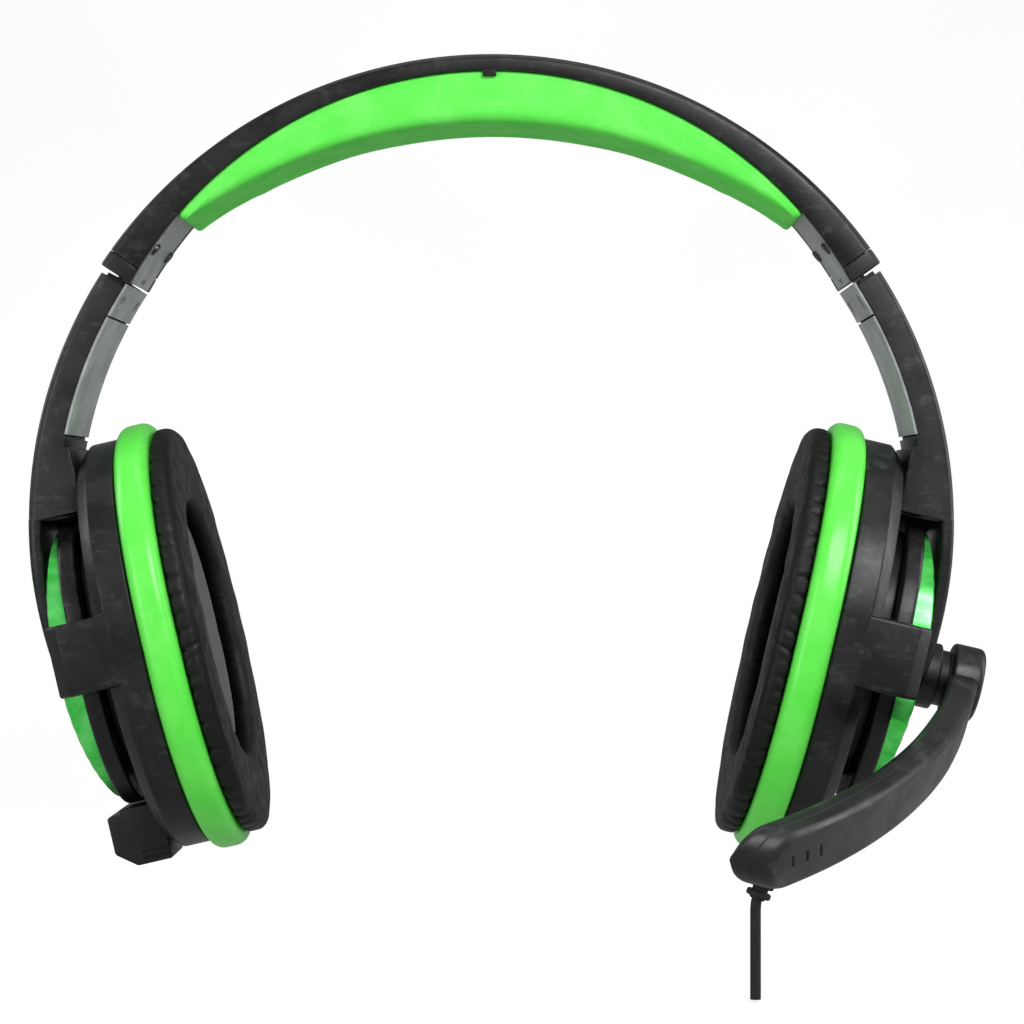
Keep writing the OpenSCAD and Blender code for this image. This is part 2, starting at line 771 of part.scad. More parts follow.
side(-1) outlet_block(-48);  // outlet_block_right
mic_hub();
mic_pin();
mic_washer();
mic_base();
mic_cap();
mic_boom();
mic_boom_cover();
mic_capsule();
cable_boot();
cable();
cable_cores();
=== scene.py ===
"""The looks of the gaming headset, built in the CAD frame. Lengths are in millimetres until a mesh is made.
The left side is modelled and the right side is its mirror image."""

import json
from math import acos, asin, atan2, copysign, cos, degrees, exp, hypot, pi, radians, sin, sqrt, tan

import bmesh
import bpy
import numpy as np
from mathutils import Matrix, Vector


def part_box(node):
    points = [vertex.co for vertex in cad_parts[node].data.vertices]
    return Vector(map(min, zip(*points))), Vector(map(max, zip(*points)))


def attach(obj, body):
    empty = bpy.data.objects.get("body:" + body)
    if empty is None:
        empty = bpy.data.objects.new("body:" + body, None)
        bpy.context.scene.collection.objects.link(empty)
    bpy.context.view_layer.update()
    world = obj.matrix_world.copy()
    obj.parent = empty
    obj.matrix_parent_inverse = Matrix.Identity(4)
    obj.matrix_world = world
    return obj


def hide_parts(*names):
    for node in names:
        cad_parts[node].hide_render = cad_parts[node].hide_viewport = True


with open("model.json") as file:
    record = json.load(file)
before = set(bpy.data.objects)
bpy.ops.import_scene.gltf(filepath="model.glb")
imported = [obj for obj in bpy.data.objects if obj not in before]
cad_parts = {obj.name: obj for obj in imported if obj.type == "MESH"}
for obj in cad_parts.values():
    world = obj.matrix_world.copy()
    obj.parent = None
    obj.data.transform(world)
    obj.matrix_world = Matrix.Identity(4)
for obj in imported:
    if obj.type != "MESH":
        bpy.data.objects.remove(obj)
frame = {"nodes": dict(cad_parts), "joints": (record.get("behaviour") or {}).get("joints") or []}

scene = bpy.context.scene
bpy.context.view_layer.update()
MM = 0.001

# ---- Dimensions shared with the CAD part ----
BAND_R, BAND_W = 104.0, 31.0            # headband: outer radius and width
SHELL_END, CAP_END = 54.3, 56.5         # degrees from the top of the arch
INNER_R, INNER_Z = 91.6, 8.6            # arc on the inner side of the headband, and its centre's height
COVER_T = 0.8                           # the inner cover's thickness
HOLLOW_R, LEDGE = 101.6, 13.05          # the hollow in the headband: its top, and half its width
PAD_TOP_R, PAD_R, PAD_LOW_Z = 91.55, 118.0, 88.4
PAD_W, PAD_END = 30.0, 45.7
BAND_SCREW_A, BAND_SCREW_Y = 50.9, 10.6
ARM_R, ARM_W, ARM_IN_R = 103.0, 30.0, 96.1
ARM_START, CLAMP_END, LINER_END = 57.3, 61.6, 78.6
STRIP_R, ARM_HOLLOW_R, CHANNEL_W = 99.2, 100.5, 25.6
LINING_T, LINING_W, LINER_TOP_R = 0.75, 29.6, 98.1
CLAMP_SCREW_Y = 10.2
SPINE_R, SPINE_TIP = 100.0, 13.0
BRACKET_N, BRACKET_U = 12.7, 32.4       # the bracket's inner face and its underside, in the cup's frame
CUP_OUT, CUP_DOWN = 74.6, 9.3           # the cup's centre from the headband's: along its axis, and below it
CUP_TURN = 103.2                        # degrees from the top of the arch to the cup's outward direction
CUP_R, CUP_HALF = 42.3, 4.5
RING_R, RING_W, RING_N, RING_ROUND = 44.6, 7.7, -0.95, 2.6
RIM_N, BACK_N, COVER_N, PLATE_N, LUG_N = 3.0, 12.0, 16.2, 20.4, 23.0
NECK_R, COVER_R, PLATE_R, COVER_HALF, COVER_U = 24.0, 28.0, 26.0, 5.0, -1.5
DOME_R, DOME_N = 150.0, 25.2
LUG_HALF, LUG_U, LUG_Y = 7.8, 1.0, 42.5
PIVOT_N, KNUCKLE_R = 18.3, 2.9
POCKET_R, POCKET_DROP = 13.8, 1.4
CUSHION_R, EAR_R, CUSHION_FACE, CUSHION_BACK = 42.8, 24.0, -10.4, -4.95
MIC_U, MIC_N0, MIC_N1, MIC_BASE_R, MIC_HUB_R, MIC_HUB_N = -2.0, 34.0, 41.2, 8.5, 7.5, 33.6
BOOM_DROP, BOOM_R, BOOM_LEN, BOOM_W, BOOM_ROOT_W, BOOM_T = 18.0, 238.0, 123.5, 12.4, 8.4, 6.6
BOOM_TAPER, BOOM_CX, BOOM_CY = 42.0, -20.8, -199.8
BOOM_START = 7.9
BOOT_N, BOOT_LEAN, BOOT_LEN, CABLE_R = 5.3, 7.0, 13.6, 1.23
BLOCK_N0, BLOCK_N1, BLOCK_STEP_N = 12.05, 24.6, 21.6
BLOCK_TOP, BLOCK_STEP, BLOCK_HALF = -34.8, -36.0, 9

# ---- Dimensions of the looks alone ----
DEEP_R, CLEAR_R = 90.0, 105.0           # where cutting tools start and end, clear of the headband and arms
MEAN_R = 100.0                          # turns a length along the arc into degrees
SHARP = 32                              # degrees: edges turned further than this stay sharp
RIM_STEPS = 3
SCREW_SIDES = 32

# ---- Frames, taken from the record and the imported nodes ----
joints = {j["name"]: j for j in frame["joints"]}
AXIS = -np.array(joints["mic_swing"]["axis"], float)          # the left cup's outward axis
UP = np.array([-AXIS[2], 0.0, AXIS[0]])                       # up along the cup
BACK = np.array([0.0, 1.0, 0.0])
CUP = np.array(sum(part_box("trim_ring_left"), Vector())) / 2 / MM - RING_N * AXIS
CABLE_END_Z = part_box("cable")[0].z / MM
CABLE_X = (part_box("cable_cores")[0].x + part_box("cable_cores")[1].x) / 2 / MM


def cup(n, y, u):
    """A point in the left cup's frame: outwards, backwards and up, from the centre of its trim ring."""
    return CUP + n * AXIS + y * BACK + u * UP


def polar(r, a, y):
    """A point on the headband's plane circle: radius, degrees from the top towards +X, distance backwards."""
    t = radians(a)
    return np.array([r * sin(t), y, r * cos(t)])


def boom(x, y, z):
    """A point in the boom's frame: along it, outwards and across its width."""
    c, s = cos(radians(BOOM_DROP)), sin(radians(BOOM_DROP))
    return cup(y, -x * c - z * s, MIC_U - x * s + z * c)


def boot(r, angle, h):
    """A point round the cable boot: radius, angle and height along it."""
    c, s = cos(radians(BOOT_LEAN)), sin(radians(BOOT_LEAN))
    x, y = r * cos(angle), r * sin(angle)
    return cup(BOOT_N + x * c + h * s, y, -(CUP_R + CUP_HALF) - x * s + h * c)


# ---- Mesh tools ----
def rounded(points, radii, seg=5):
    """The polygon with its corners rounded; radii is one number or one per corner."""
    n = len(points)
    if not hasattr(radii, "__len__"):
        radii = [radii] * n
    out = []
    for i in range(n):
        p, a, b = (np.array(points[k % n], float) for k in (i, i - 1, i + 1))
        da, db = a - p, b - p
        la, lb = np.linalg.norm(da), np.linalg.norm(db)
        da, db = da / la, db / lb
        half = acos(max(-1.0, min(1.0, float(da @ db)))) / 2
        r = radii[i]
        if r <= 0 or half > radians(89):
            out.append(p)
            continue
        cut = min(r / tan(half), 0.49 * la, 0.49 * lb)
        r = cut * tan(half)
        centre = p + (da + db) / np.linalg.norm(da + db) * (r / sin(half))
        start, end = p + da * cut - centre, p + db * cut - centre
        turn = atan2(start[0] * end[1] - start[1] * end[0], float(start @ end))
        for k in range(seg + 1):
            t = turn * k / seg
            out.append(centre + np.array([start[0] * cos(t) - start[1] * sin(t),
                                          start[0] * sin(t) + start[1] * cos(t)]))
    return np.array(out)


def evenly(outline, size):
    """The closed outline with its points spread evenly round it."""
    loop = np.vstack([outline, outline[:1]])
    length = np.r_[0, np.cumsum(np.linalg.norm(np.diff(loop, axis=0), axis=1))]
    at = np.linspace(0, length[-1], size, endpoint=False)
    return np.stack([np.interp(at, length, loop[:, k]) for k in (0, 1)], 1)


def rectangle(a0, a1, b0, b1):
    """The corners of a rectangle, in order round it."""
    return [(a0, b0), (a1, b0), (a1, b1), (a0, b1)]


def make(name, verts, faces, material, smooth=SHARP):
    """An object from vertices in millimetres, with one material."""
    mesh = bpy.data.meshes.new(name)
    mesh.from_pydata([tuple(v * MM) for v in verts], [], faces)
    mesh.validate()
    obj = bpy.data.objects.new(name, mesh)
    scene.collection.objects.link(obj)
    mesh.materials.append(material)
    tidy_mesh(obj, smooth)
    return obj


def tidy_mesh(obj, smooth=SHARP, merge=True):
    """Merges doubles, turns the faces outwards and marks the edges that stay sharp."""
    bm = bmesh.new()
    bm.from_mesh(obj.data)
    if merge:
        bmesh.ops.remove_doubles(bm, verts=bm.verts, dist=2e-6)
        bmesh.ops.dissolve_degenerate(bm, edges=bm.edges, dist=1e-6)
    bmesh.ops.recalc_face_normals(bm, faces=bm.faces)
    bm.to_mesh(obj.data)
    bm.free()
    obj.data.shade_smooth()
    obj.data.set_sharp_from_angle(angle=radians(smooth))


def grid(rings, closed=False, caps=True):
    """Vertices and quads that join a list of closed rings; closed joins the last ring to the first."""
    rings = [np.asarray(r, float) for r in rings]
    size, count = len(rings[0]), len(rings)
    verts = np.concatenate(rings)
    faces = []
    for i in range(count if closed else count - 1):
        a, b = i * size, (i + 1) % count * size
        faces += [(a + k, a + (k + 1) % size, b + (k + 1) % size, b + k) for k in range(size)]
    if caps and not closed:
        faces += [tuple(range(size))[::-1], tuple((count - 1) * size + k for k in range(size))]
    return list(verts), faces


def arc_loft(name, material, angles, section, bulge=0.0):
    """A bar round the headband's arc. section(angle) gives its (radius, y) outline; bulge rounds its ends."""
    rings = []
    stops = [(a, 0.0) for a in angles]
    if bulge:
        step = degrees(bulge / MEAN_R)
        lead = [(angles[0] + step * (1 - cos(t)), bulge * (1 - sin(t))) for t in (0, 0.5, 1.0)]
        tail = [(angles[-1] - step * (1 - cos(t)), bulge * (1 - sin(t))) for t in (1.0, 0.5, 0)]
        stops = lead + [(a, 0.0) for a in angles if angles[0] + step < a < angles[-1] - step] + tail
    for a, inset in stops:
        outline = np.array(section(a), float)
        if inset:
            middle = (outline.min(0) + outline.max(0)) / 2
            half = np.maximum((outline.max(0) - outline.min(0)) / 2, 1e-6)
            outline = middle + (outline - middle) * np.maximum(1 - inset / half, 0.05)
        rings.append([polar(r, a, y) for r, y in outline])
    return make(name, *grid(rings), material)


def oval_loop(count=64):
    """(y, u, sign) round an oval of two half turns and two straight runs: a direction, and its half."""
    loop = []
    for sign in (1, -1):
        for k in range(count // 2 + 1):
            t = pi * (k / (count // 2) - 0.5) + (0 if sign > 0 else pi)
            loop.append((sin(t), cos(t), sign))
    return loop


def oval_sweep(name, material, profile, half, centre_u=0.0, count=96, closed=True, smooth=SHARP):
    """Sweeps a (n, radius) outline round the oval. An open outline starts and ends on the oval's axis."""
    def point(n, r, sy, su, sign):
        return cup(n, r * sy, centre_u + sign * half + r * su)

    loop = oval_loop(count)
    if closed:
        rings = [[point(n, r, *way) for n, r in profile] for way in loop]
    else:
        rings = [[point(n, r, *way) for way in loop] for n, r in profile]
    return make(name, *grid(rings, closed=closed), material, smooth)


def revolve(name, material, profile, place, count=64):
    """Turns an open (height, radius) outline; place(radius, angle, height) gives the point."""
    rings = [[place(r, 2 * pi * k / count, h) for k in range(count)] for h, r in profile]
    return make(name, *grid(rings), material)


def prism(name, material, outline, low, high, place, round_r=0.0):
    """Stands a closed outline between two heights, with rounded rims; place(a, b, height) gives the point."""
    outline = np.array(outline, float)
    before, after = np.roll(outline, 1, 0) - outline, np.roll(outline, -1, 0) - outline
    before /= np.linalg.norm(before, axis=1)[:, None]
    after /= np.linalg.norm(after, axis=1)[:, None]
    normal = np.stack([after[:, 1] - before[:, 1], before[:, 0] - after[:, 0]], 1)
    normal /= np.linalg.norm(normal, axis=1)[:, None]
    area = np.sum(outline[:, 0] * np.roll(outline[:, 1], -1) - np.roll(outline[:, 0], -1) * outline[:, 1])
    inward = -normal * np.sign(area)
    if round_r:
        turns = [pi / 2 * k / RIM_STEPS for k in range(RIM_STEPS + 1)]
        levels = [(low + round_r * (1 - sin(t)), round_r * (1 - cos(t))) for t in turns[::-1]]
        levels += [(high - round_r * (1 - sin(t)), round_r * (1 - cos(t))) for t in turns]
    else:
        levels = [(low, 0), (high, 0)]
    rings = [[place(a, b, h) for a, b in outline + inward * d] for h, d in levels]
    return make(name, *grid(rings), material)


def across_cup(n, u, y):
    """A prism's point when its outline is in the cup's (n, u) plane and it runs front to back."""
    return cup(n, y, u)


def boolean(obj, other, operation="DIFFERENCE"):
    """Cuts other from obj, or joins them, and removes other. A boolean that does nothing is an error."""
    modifier = obj.modifiers.new("boolean", "BOOLEAN")
    modifier.operation, modifier.solver, modifier.object = operation, "MANIFOLD", other
    evaluated = obj.evaluated_get(bpy.context.evaluated_depsgraph_get())
    mesh = bpy.data.meshes.new_from_object(evaluated)
    if len(mesh.polygons) in (0, len(obj.data.polygons)):
        fault = f"{obj.name}: the {operation.lower()} with {other.name} changed nothing or left nothing"
        raise RuntimeError(fault)
    obj.modifiers.clear()
    obj.data = mesh
    bpy.data.objects.remove(other)
    tidy_mesh(obj, merge=False)
    return obj


def mirrored(obj, name):
    """A copy of obj on the other side of the middle plane."""
    twin = obj.copy()
    twin.data = obj.data.copy()
    twin.data.transform(Matrix.Scale(-1, 4, (1, 0, 0)))
    twin.data.flip_normals()
    twin.name = twin.data.name = name
    scene.collection.objects.link(twin)
    return twin


def place(obj, body, slot, *nodes):
    """Puts obj on a body, in place of the CAD nodes named, which it hides; slot is not used."""
    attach(obj, body)
    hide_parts(*nodes)
    return obj


def pair(obj, body, slot, *nodes):
    """Puts obj on the left body and its mirror image on the right one. Names end in _left and _right."""
    stem = obj.name
    twin = mirrored(obj, stem + "_right")
    obj.name = obj.data.name = stem + "_left"
    for o, end in ((obj, "_left"), (twin, "_right")):
        place(o, body + end, slot, *[n + end for n in nodes])
    return obj, twin


# ---- Materials ----
def srgb(*levels):
    """A colour given in levels from 0 to 255, as linear values."""
    shares = [level / 255 for level in levels]
    return tuple(v / 12.92 if v < 0.0404 else ((v + 0.055) / 1.055) ** 2.4 for v in shares) + (1.0,)


class Nodes:
    """A short way to build a material's node tree."""

    def __init__(self, name):
        self.material = bpy.data.materials.new(name)
        self.material.use_nodes = True
        self.tree = self.material.node_tree
        self.tree.nodes.clear()
        self.out = self.add("ShaderNodeOutputMaterial")
        self.surface = self.add("ShaderNodeBsdfPrincipled")
        self.link(self.surface, "BSDF", self.out, "Surface")
        self.coords = self.add("ShaderNodeTexCoord")

    def add(self, kind, **values):
        node = self.tree.nodes.new(kind)
        for key, value in values.items():
            if hasattr(node, key):
                setattr(node, key, value)
            else:
                node.inputs[key.replace("_", " ")].default_value = value
        return node

    def link(self, a, out, b, into):
        self.tree.links.new(a.outputs[out], b.inputs[into])

    def space(self, scale=(1, 1, 1), turn=(0, 0, 0)):
        """Object coordinates in millimetres, scaled and turned."""
        node = self.add("ShaderNodeMapping")
        node.inputs["Scale"].default_value = [s / MM for s in scale]
        node.inputs["Rotation"].default_value = [radians(t) for t in turn]
        self.link(self.coords, "Object", node, "Vector")
        return node

    def noise(self, scale, detail=4.0, rough=0.55, stretch=(1, 1, 1), turn=(0, 0, 0)):
        node = self.add("ShaderNodeTexNoise", Scale=scale, Detail=detail, Roughness=rough)
        self.link(self.space(stretch, turn), "Vector", node, "Vector")
        return node

    def ramp(self, source, out, low, high, to_low=0.0, to_high=1.0):
        node = self.add("ShaderNodeMapRange", interpolation_type="SMOOTHSTEP")
        for key, value in (("From Min", low), ("From Max", high), ("To Min", to_low), ("To Max", to_high)):
            node.inputs[key].default_value = value
        self.link(source, out, node, "Value")
        return node

    def mix(self, factor, a, b):
        """Mixes two colours by a node's value."""
        node = self.add("ShaderNodeMix", data_type="RGBA")
        for k, value in ((6, a), (7, b)):
            if isinstance(value, tuple):
                node.inputs[k].default_value = value
            else:
                self.tree.links.new(value.outputs[2], node.inputs[k])
        self.tree.links.new(factor.outputs[0], node.inputs[0])
        return node

    def maths(self, operation, a, b):
        node = self.add("ShaderNodeMath", operation=operation)
        for k, value in enumerate((a, b)):
            if isinstance(value, (int, float)):
                node.inputs[k].default_value = value
            else:
                self.tree.links.new(value.outputs[0], node.inputs[k])
        return node

    def bump(self, height, strength, distance, under=None):
        node = self.add("ShaderNodeBump", Strength=strength, Distance=distance * MM)
        self.tree.links.new(height.outputs[0], node.inputs["Height"])
        if under is not None:
            self.tree.links.new(under.outputs[0], node.inputs["Normal"])
        return node

    def finish(self, colour=None, rough=None, normal=None, **values):
        if isinstance(colour, tuple):
            self.surface.inputs["Base Color"].default_value = colour
        elif colour is not None:
            self.tree.links.new(colour.outputs[2], self.surface.inputs["Base Color"])
        if rough is not None:
            self.link(rough, 0, self.surface, "Roughness")
        if normal is not None:
            self.link(normal, 0, self.surface, "Normal")
        for key, value in values.items():
            self.surface.inputs[key.replace("_", " ")].default_value = value
        return self.material


def plastic(name, dark, light, rough, wear, grain=0.05, worn=(0.10, 0.10, 0.105, 1), specular=0.5):
    """Moulded plastic: fine spark-eroded grain, thin scratches, and cloudy paler patches that are partly scuffed
    wear and partly a painted satin sheen.
    """
    n = Nodes(name)
    cloud = n.noise(0.09, 5, 0.62)
    patches = n.ramp(n.noise(0.16, 6, 0.7, (1, 0.6, 1.3), (15, 30, 0)), 0, 0.52, 0.74)
    streaks = n.ramp(n.noise(0.55, 3, 0.6, (0.22, 1.6, 0.7), (20, 10, 35)), 0, 0.60, 0.72)
    # Paler patches and streaks: partly scuffed wear, partly a painted satin sheen; they also lower the
    # roughness.
    scuffs_and_sheen = n.maths("MULTIPLY", n.maths("MAXIMUM", patches, n.maths("MULTIPLY", streaks, 0.6)), wear)
    colour = n.mix(scuffs_and_sheen, n.mix(n.ramp(cloud, 0, 0.35, 0.68), dark, light), worn)
    roughness = n.maths("SUBTRACT", n.ramp(cloud, 0, 0.3, 0.7, *rough), n.maths("MULTIPLY", scuffs_and_sheen, 0.10))
    fine = n.noise(3.4, 3, 0.6)
    height = n.maths("ADD", fine, n.maths("MULTIPLY", streaks, -0.25))
    surface = n.bump(height, 0.55, grain, n.add("ShaderNodeBevel", samples=4, Radius=0.35 * MM))
    return n.finish(colour, roughness, surface, Specular_IOR_Level=specular)


def skin(name, dark, light, rough, grain=0.10, cell=1.5, specular=0.5):
    """Leatherette: pebbled grain from cells, fine pores and soft colour variation."""
    n = Nodes(name)
    cells = n.add("ShaderNodeTexVoronoi", feature="SMOOTH_F1", Scale=cell, Smoothness=0.35)
    n.link(n.space(), "Vector", cells, "Vector")
    pores = n.noise(2.6, 4, 0.65)
    tone = n.noise(0.12, 4, 0.6)
    colour = n.mix(n.ramp(tone, 0, 0.35, 0.68), dark, light)
    roughness = n.ramp(n.noise(0.3, 5, 0.6), 0, 0.3, 0.7, *rough)
    height = n.maths("ADD", n.maths("MULTIPLY", cells, -0.7), n.maths("MULTIPLY", pores, 0.35))
    surface = n.bump(height, 0.5, grain)
    return n.finish(colour, roughness, surface, Specular_IOR_Level=specular)


def gloss(name, dark, light, rough=(0.12, 0.24), coat=0.1):
    """Glossy moulded plastic with slight flow marks, dust-fine grain and soft colour variation."""
    n = Nodes(name)
    flow = n.noise(0.10, 4, 0.6, (1, 0.4, 1))
    colour = n.mix(n.ramp(flow, 0, 0.35, 0.68), dark, light)
    roughness = n.ramp(n.noise(0.5, 6, 0.7), 0, 0.35, 0.75, *rough)
    height = n.maths("ADD", n.noise(0.22, 3, 0.5), n.maths("MULTIPLY", n.noise(5.0, 2, 0.5), 0.12))
    surface = n.bump(height, 0.35, 0.03)
    return n.finish(colour, roughness, surface, Coat_Weight=coat, Coat_Roughness=0.08)


def metal(name, dark, light, rough, lines=(0.06, 4.0, 0.06), metallic=1.0):
    """Metal with a brushed direction, cloudy tarnish and hair scratches."""
    n = Nodes(name)
    brushed = n.noise(1.2, 4, 0.6, lines)
    cloud = n.noise(0.15, 5, 0.65)
    tone = n.maths("ADD", n.maths("MULTIPLY", brushed, 0.6), n.maths("MULTIPLY", cloud, 0.4))
    colour = n.mix(n.ramp(tone, 0, 0.36, 0.64), dark, light)
    roughness = n.ramp(tone, 0, 0.3, 0.7, *rough)
    surface = n.bump(brushed, 0.4, 0.02)
    return n.finish(colour, roughness, surface, Metallic=metallic)


YARN_PITCH = 0.9


def knit(name, dark, light):
    """Fine knitted speaker cloth: two crossed waves of yarn, with fuzz."""
    n = Nodes(name)
    waves = []
    for turn in (45, -45):
        wave = n.add("ShaderNodeTexWave", wave_type="BANDS", bands_direction="Z", Scale=1 / YARN_PITCH,
                     Distortion=0.4)
        wave.inputs["Detail Scale"].default_value = 2.0
        n.link(n.space((1, 1, 1), (turn, 0, 0)), "Vector", wave, "Vector")
        waves.append(n.ramp(wave, 1, 0.0, 1.0))
    weave = n.maths("MULTIPLY", *waves)
    tone = n.maths("ADD", n.maths("MULTIPLY", weave, 0.8), n.maths("MULTIPLY", n.noise(2.0, 4, 0.6), 0.3))
    colour = n.mix(n.ramp(tone, 0, 0.15, 0.8), dark, light)
    roughness = n.ramp(tone, 0, 0.2, 0.8, 0.95, 0.75)
    return n.finish(colour, roughness, n.bump(tone, 0.8, 0.15), Sheen_Weight=0.3)


# The worn colours give these plastics paler patches that are partly wear and partly a painted satin sheen.
BLACK = plastic("black_plastic", srgb(11, 11, 12), srgb(22, 22, 23), (0.28, 0.46), wear=0.6,
                worn=srgb(72, 72, 75), specular=0.4)
CAP = plastic("cap_plastic", srgb(8, 8, 9), srgb(16, 16, 17), (0.36, 0.5), wear=0.15, worn=srgb(48, 48, 50))
ARM_BLACK = plastic("arm_plastic", srgb(16, 16, 17), srgb(30, 30, 32), (0.30, 0.48), wear=0.6,
                    worn=srgb(80, 80, 84), specular=0.45)
DARK = plastic("dark_plastic", srgb(8, 8, 9), srgb(16, 16, 17), (0.32, 0.5), wear=0.35,
               worn=srgb(54, 54, 57), specular=0.4)
GREY = plastic("grey_trim", srgb(144, 146, 149), srgb(182, 184, 186), (0.30, 0.44), grain=0.03, wear=0.4,
               worn=srgb(196, 198, 200))
GREEN_RING = gloss("green_gloss", srgb(96, 244, 76), srgb(114, 252, 92), (0.28, 0.4), 0.12)
GREEN_PAD = skin("green_skin", srgb(100, 246, 86), srgb(120, 253, 104), (0.5, 0.66), grain=0.05, cell=2.2,
                 specular=0.25)
CHROME = metal("green_chrome", srgb(60, 226, 74), srgb(120, 255, 130), (0.1, 0.22), (0.12, 0.4, 0.12),
               metallic=0.55)
LEATHER = skin("cushion_leatherette", srgb(6, 6, 6), srgb(12, 11, 12), (0.44, 0.62), specular=0.32)
CLOTH = knit("speaker_knit", srgb(5, 5, 6), srgb(17, 17, 18))
STEEL = metal("screw_steel", srgb(58, 58, 60), srgb(120, 120, 124), (0.25, 0.4), (2, 2, 2))
BRIGHT = metal("bright_steel", srgb(150, 151, 154), srgb(198, 199, 202), (0.18, 0.34))
STRIP = metal("strip_steel", srgb(70, 71, 74), srgb(128, 129, 133), (0.22, 0.38))
MAGNET = metal("magnet_plating", srgb(120, 122, 126), srgb(176, 178, 182), (0.2, 0.35), (2, 2, 2))
FILM = gloss("driver_film", srgb(196, 170, 110), srgb(222, 198, 140))
RUBBER = plastic("cable_rubber", srgb(16, 16, 17), srgb(28, 28, 30), (0.5, 0.66), grain=0.03, wear=0.15)
COPPER = metal("copper", srgb(176, 98, 52), srgb(222, 140, 84), (0.25, 0.4), (2, 2, 0.2))
CONTROL = plastic("block_plastic", srgb(8, 8, 9), srgb(17, 17, 18), (0.3, 0.46), wear=0.3,
                  worn=srgb(50, 50, 53), specular=0.4)


# ---- Soft shapes ----
def inflate(name, rings, pinned, cap, closed):
    """Inflates a ring-by-ring mesh by cloth simulation. Returns the rings, moved by at most cap mm."""
    rings = np.array(rings, float)
    count, size = rings.shape[:2]
    obj = make(name, *grid(rings, closed=closed), BLACK)
    rest = np.array([v.co for v in obj.data.vertices])
    flat = rings.reshape(-1, 3) * MM
    group = obj.vertex_groups.new(name="pinned")
    nearest = [int(np.argmin(((rest - p) ** 2).sum(1))) for p in flat]
    for k, is_pinned in enumerate(np.array(pinned).ravel()):
        if is_pinned:
            group.add([nearest[k]], 1.0, "REPLACE")
    cloth = obj.modifiers.new("cloth", "CLOTH")
    settings = cloth.settings
    settings.quality, settings.mass = 6, 0.3
    settings.tension_stiffness = settings.compression_stiffness = 18
    settings.bending_stiffness = 1.0
    settings.use_pressure, settings.uniform_pressure_force = True, 4.0
    settings.vertex_group_mass = "pinned"
    settings.effector_weights.gravity = 0.0
    for f in range(1, 21):
        scene.frame_set(f)
    evaluated = obj.evaluated_get(bpy.context.evaluated_depsgraph_get())
    moved = np.array([v.co for v in evaluated.data.vertices])
    scene.frame_set(1)
    shift = (moved - rest)[nearest] / MM
    length = np.maximum(np.linalg.norm(shift, axis=1, keepdims=True), 1e-9)
    shift *= np.minimum(1.0, cap / length)
    bpy.data.objects.remove(obj)
    return rings + shift.reshape(rings.shape)


def resample(values, count, axis, periodic):
    """Smoothly resamples an array of points along one axis (Catmull-Rom)."""
    values = np.moveaxis(np.asarray(values, float), axis, 0)
    size = len(values)
    t = np.arange(count) * size / count if periodic else np.linspace(0, size - 1, count)
    i = np.floor(t).astype(int)
    if not periodic:
        i = np.minimum(i, size - 2)
    f = (t - i).reshape((-1,) + (1,) * (values.ndim - 1))
    pick = (lambda k: values[k % size]) if periodic else (lambda k: values[np.clip(k, 0, size - 1)])
    a, b, c, d = pick(i - 1), pick(i), pick(i + 1), pick(i + 2)
    out = 0.5 * (2 * b + (c - a) * f + (2 * a - 5 * b + 4 * c - d) * f ** 2 + (3 * b - a - 3 * c + d) * f ** 3)
    return np.moveaxis(out, 0, axis)


# ---- Headband ----
def inner_radius(a, r=INNER_R):
    """Distance from the origin to the inner arc, in the direction a degrees from the top."""
    t = radians(a)
    return INNER_Z * cos(t) + sqrt(r * r - (INNER_Z * sin(t)) ** 2)


def band_section(a, hollow_r, fillet):
    """The headband's outline, a degrees from the top, hollowed from the inner side up to hollow_r."""
    rim, w = inner_radius(a), BAND_W / 2
    points = [(rim, w), (BAND_R, w), (BAND_R, -w), (rim, -w), (rim, -LEDGE), (hollow_r, -LEDGE),
              (hollow_r, LEDGE), (rim, LEDGE)]
    return rounded(points, [0.5, 1.7, 1.7, 0.5, 0.3, fillet, fillet, 0.3], 4)


shell = arc_loft("headband_shell_body", BLACK, np.linspace(-SHELL_END, SHELL_END, 109),
                 lambda a: band_section(a, HOLLOW_R, 0.2))
tab = prism("tab", BLACK, rounded(rectangle(-1.5, 1.5, 98.9, 100.6), 0.3), -15.45, -13.6,
            lambda a, b, h: np.array([a, h, b]))
boolean(shell, tab, "UNION")
for y in (-11.0, 11.0):
    groove = rounded(rectangle(103.55, CLEAR_R, y - 0.45, y + 0.45), 0.12, 2)
    boolean(shell, arc_loft("groove", BLACK, np.linspace(-48, 48, 97), lambda a: groove))
place(shell, "headband", "black_plastic", "headband_shell")

cap = arc_loft("end_cap_body", CAP, np.linspace(SHELL_END + 0.06, CAP_END, 6),
               lambda a: band_section(a, inner_radius(a) + 1.05, 0.1), bulge=0.35)
boolean(cap, arc_loft("slot", DARK, np.linspace(SHELL_END - 1, CAP_END + 1, 8),
                      lambda a: rectangle(98.9, 100.5, -8.3, 8.3)))
right_cap = mirrored(cap, "end_cap_body_right")
cap.name = "end_cap_body_left"
place(cap, "headband", "dark_plastic", "end_cap_left")
place(right_cap, "headband", "dark_plastic", "end_cap_right")


def cover_section(a):
    low, w = inner_radius(a), 12.9
    return rounded([(low, -w), (low, w), (low + COVER_T, w), (low + COVER_T, -w)], [0.4, 0.4, 0.1, 0.1], 3)


def radial_hole(a, y, hole_r, end_r):
    """A round cutting tool that points away from the headband's centre, a degrees from the top."""
    return revolve("hole", GREY, [(DEEP_R, hole_r), (end_r, hole_r)],
                   lambda r, t, h: polar(h, a + degrees(r * cos(t) / h), y + r * sin(t)), 32)


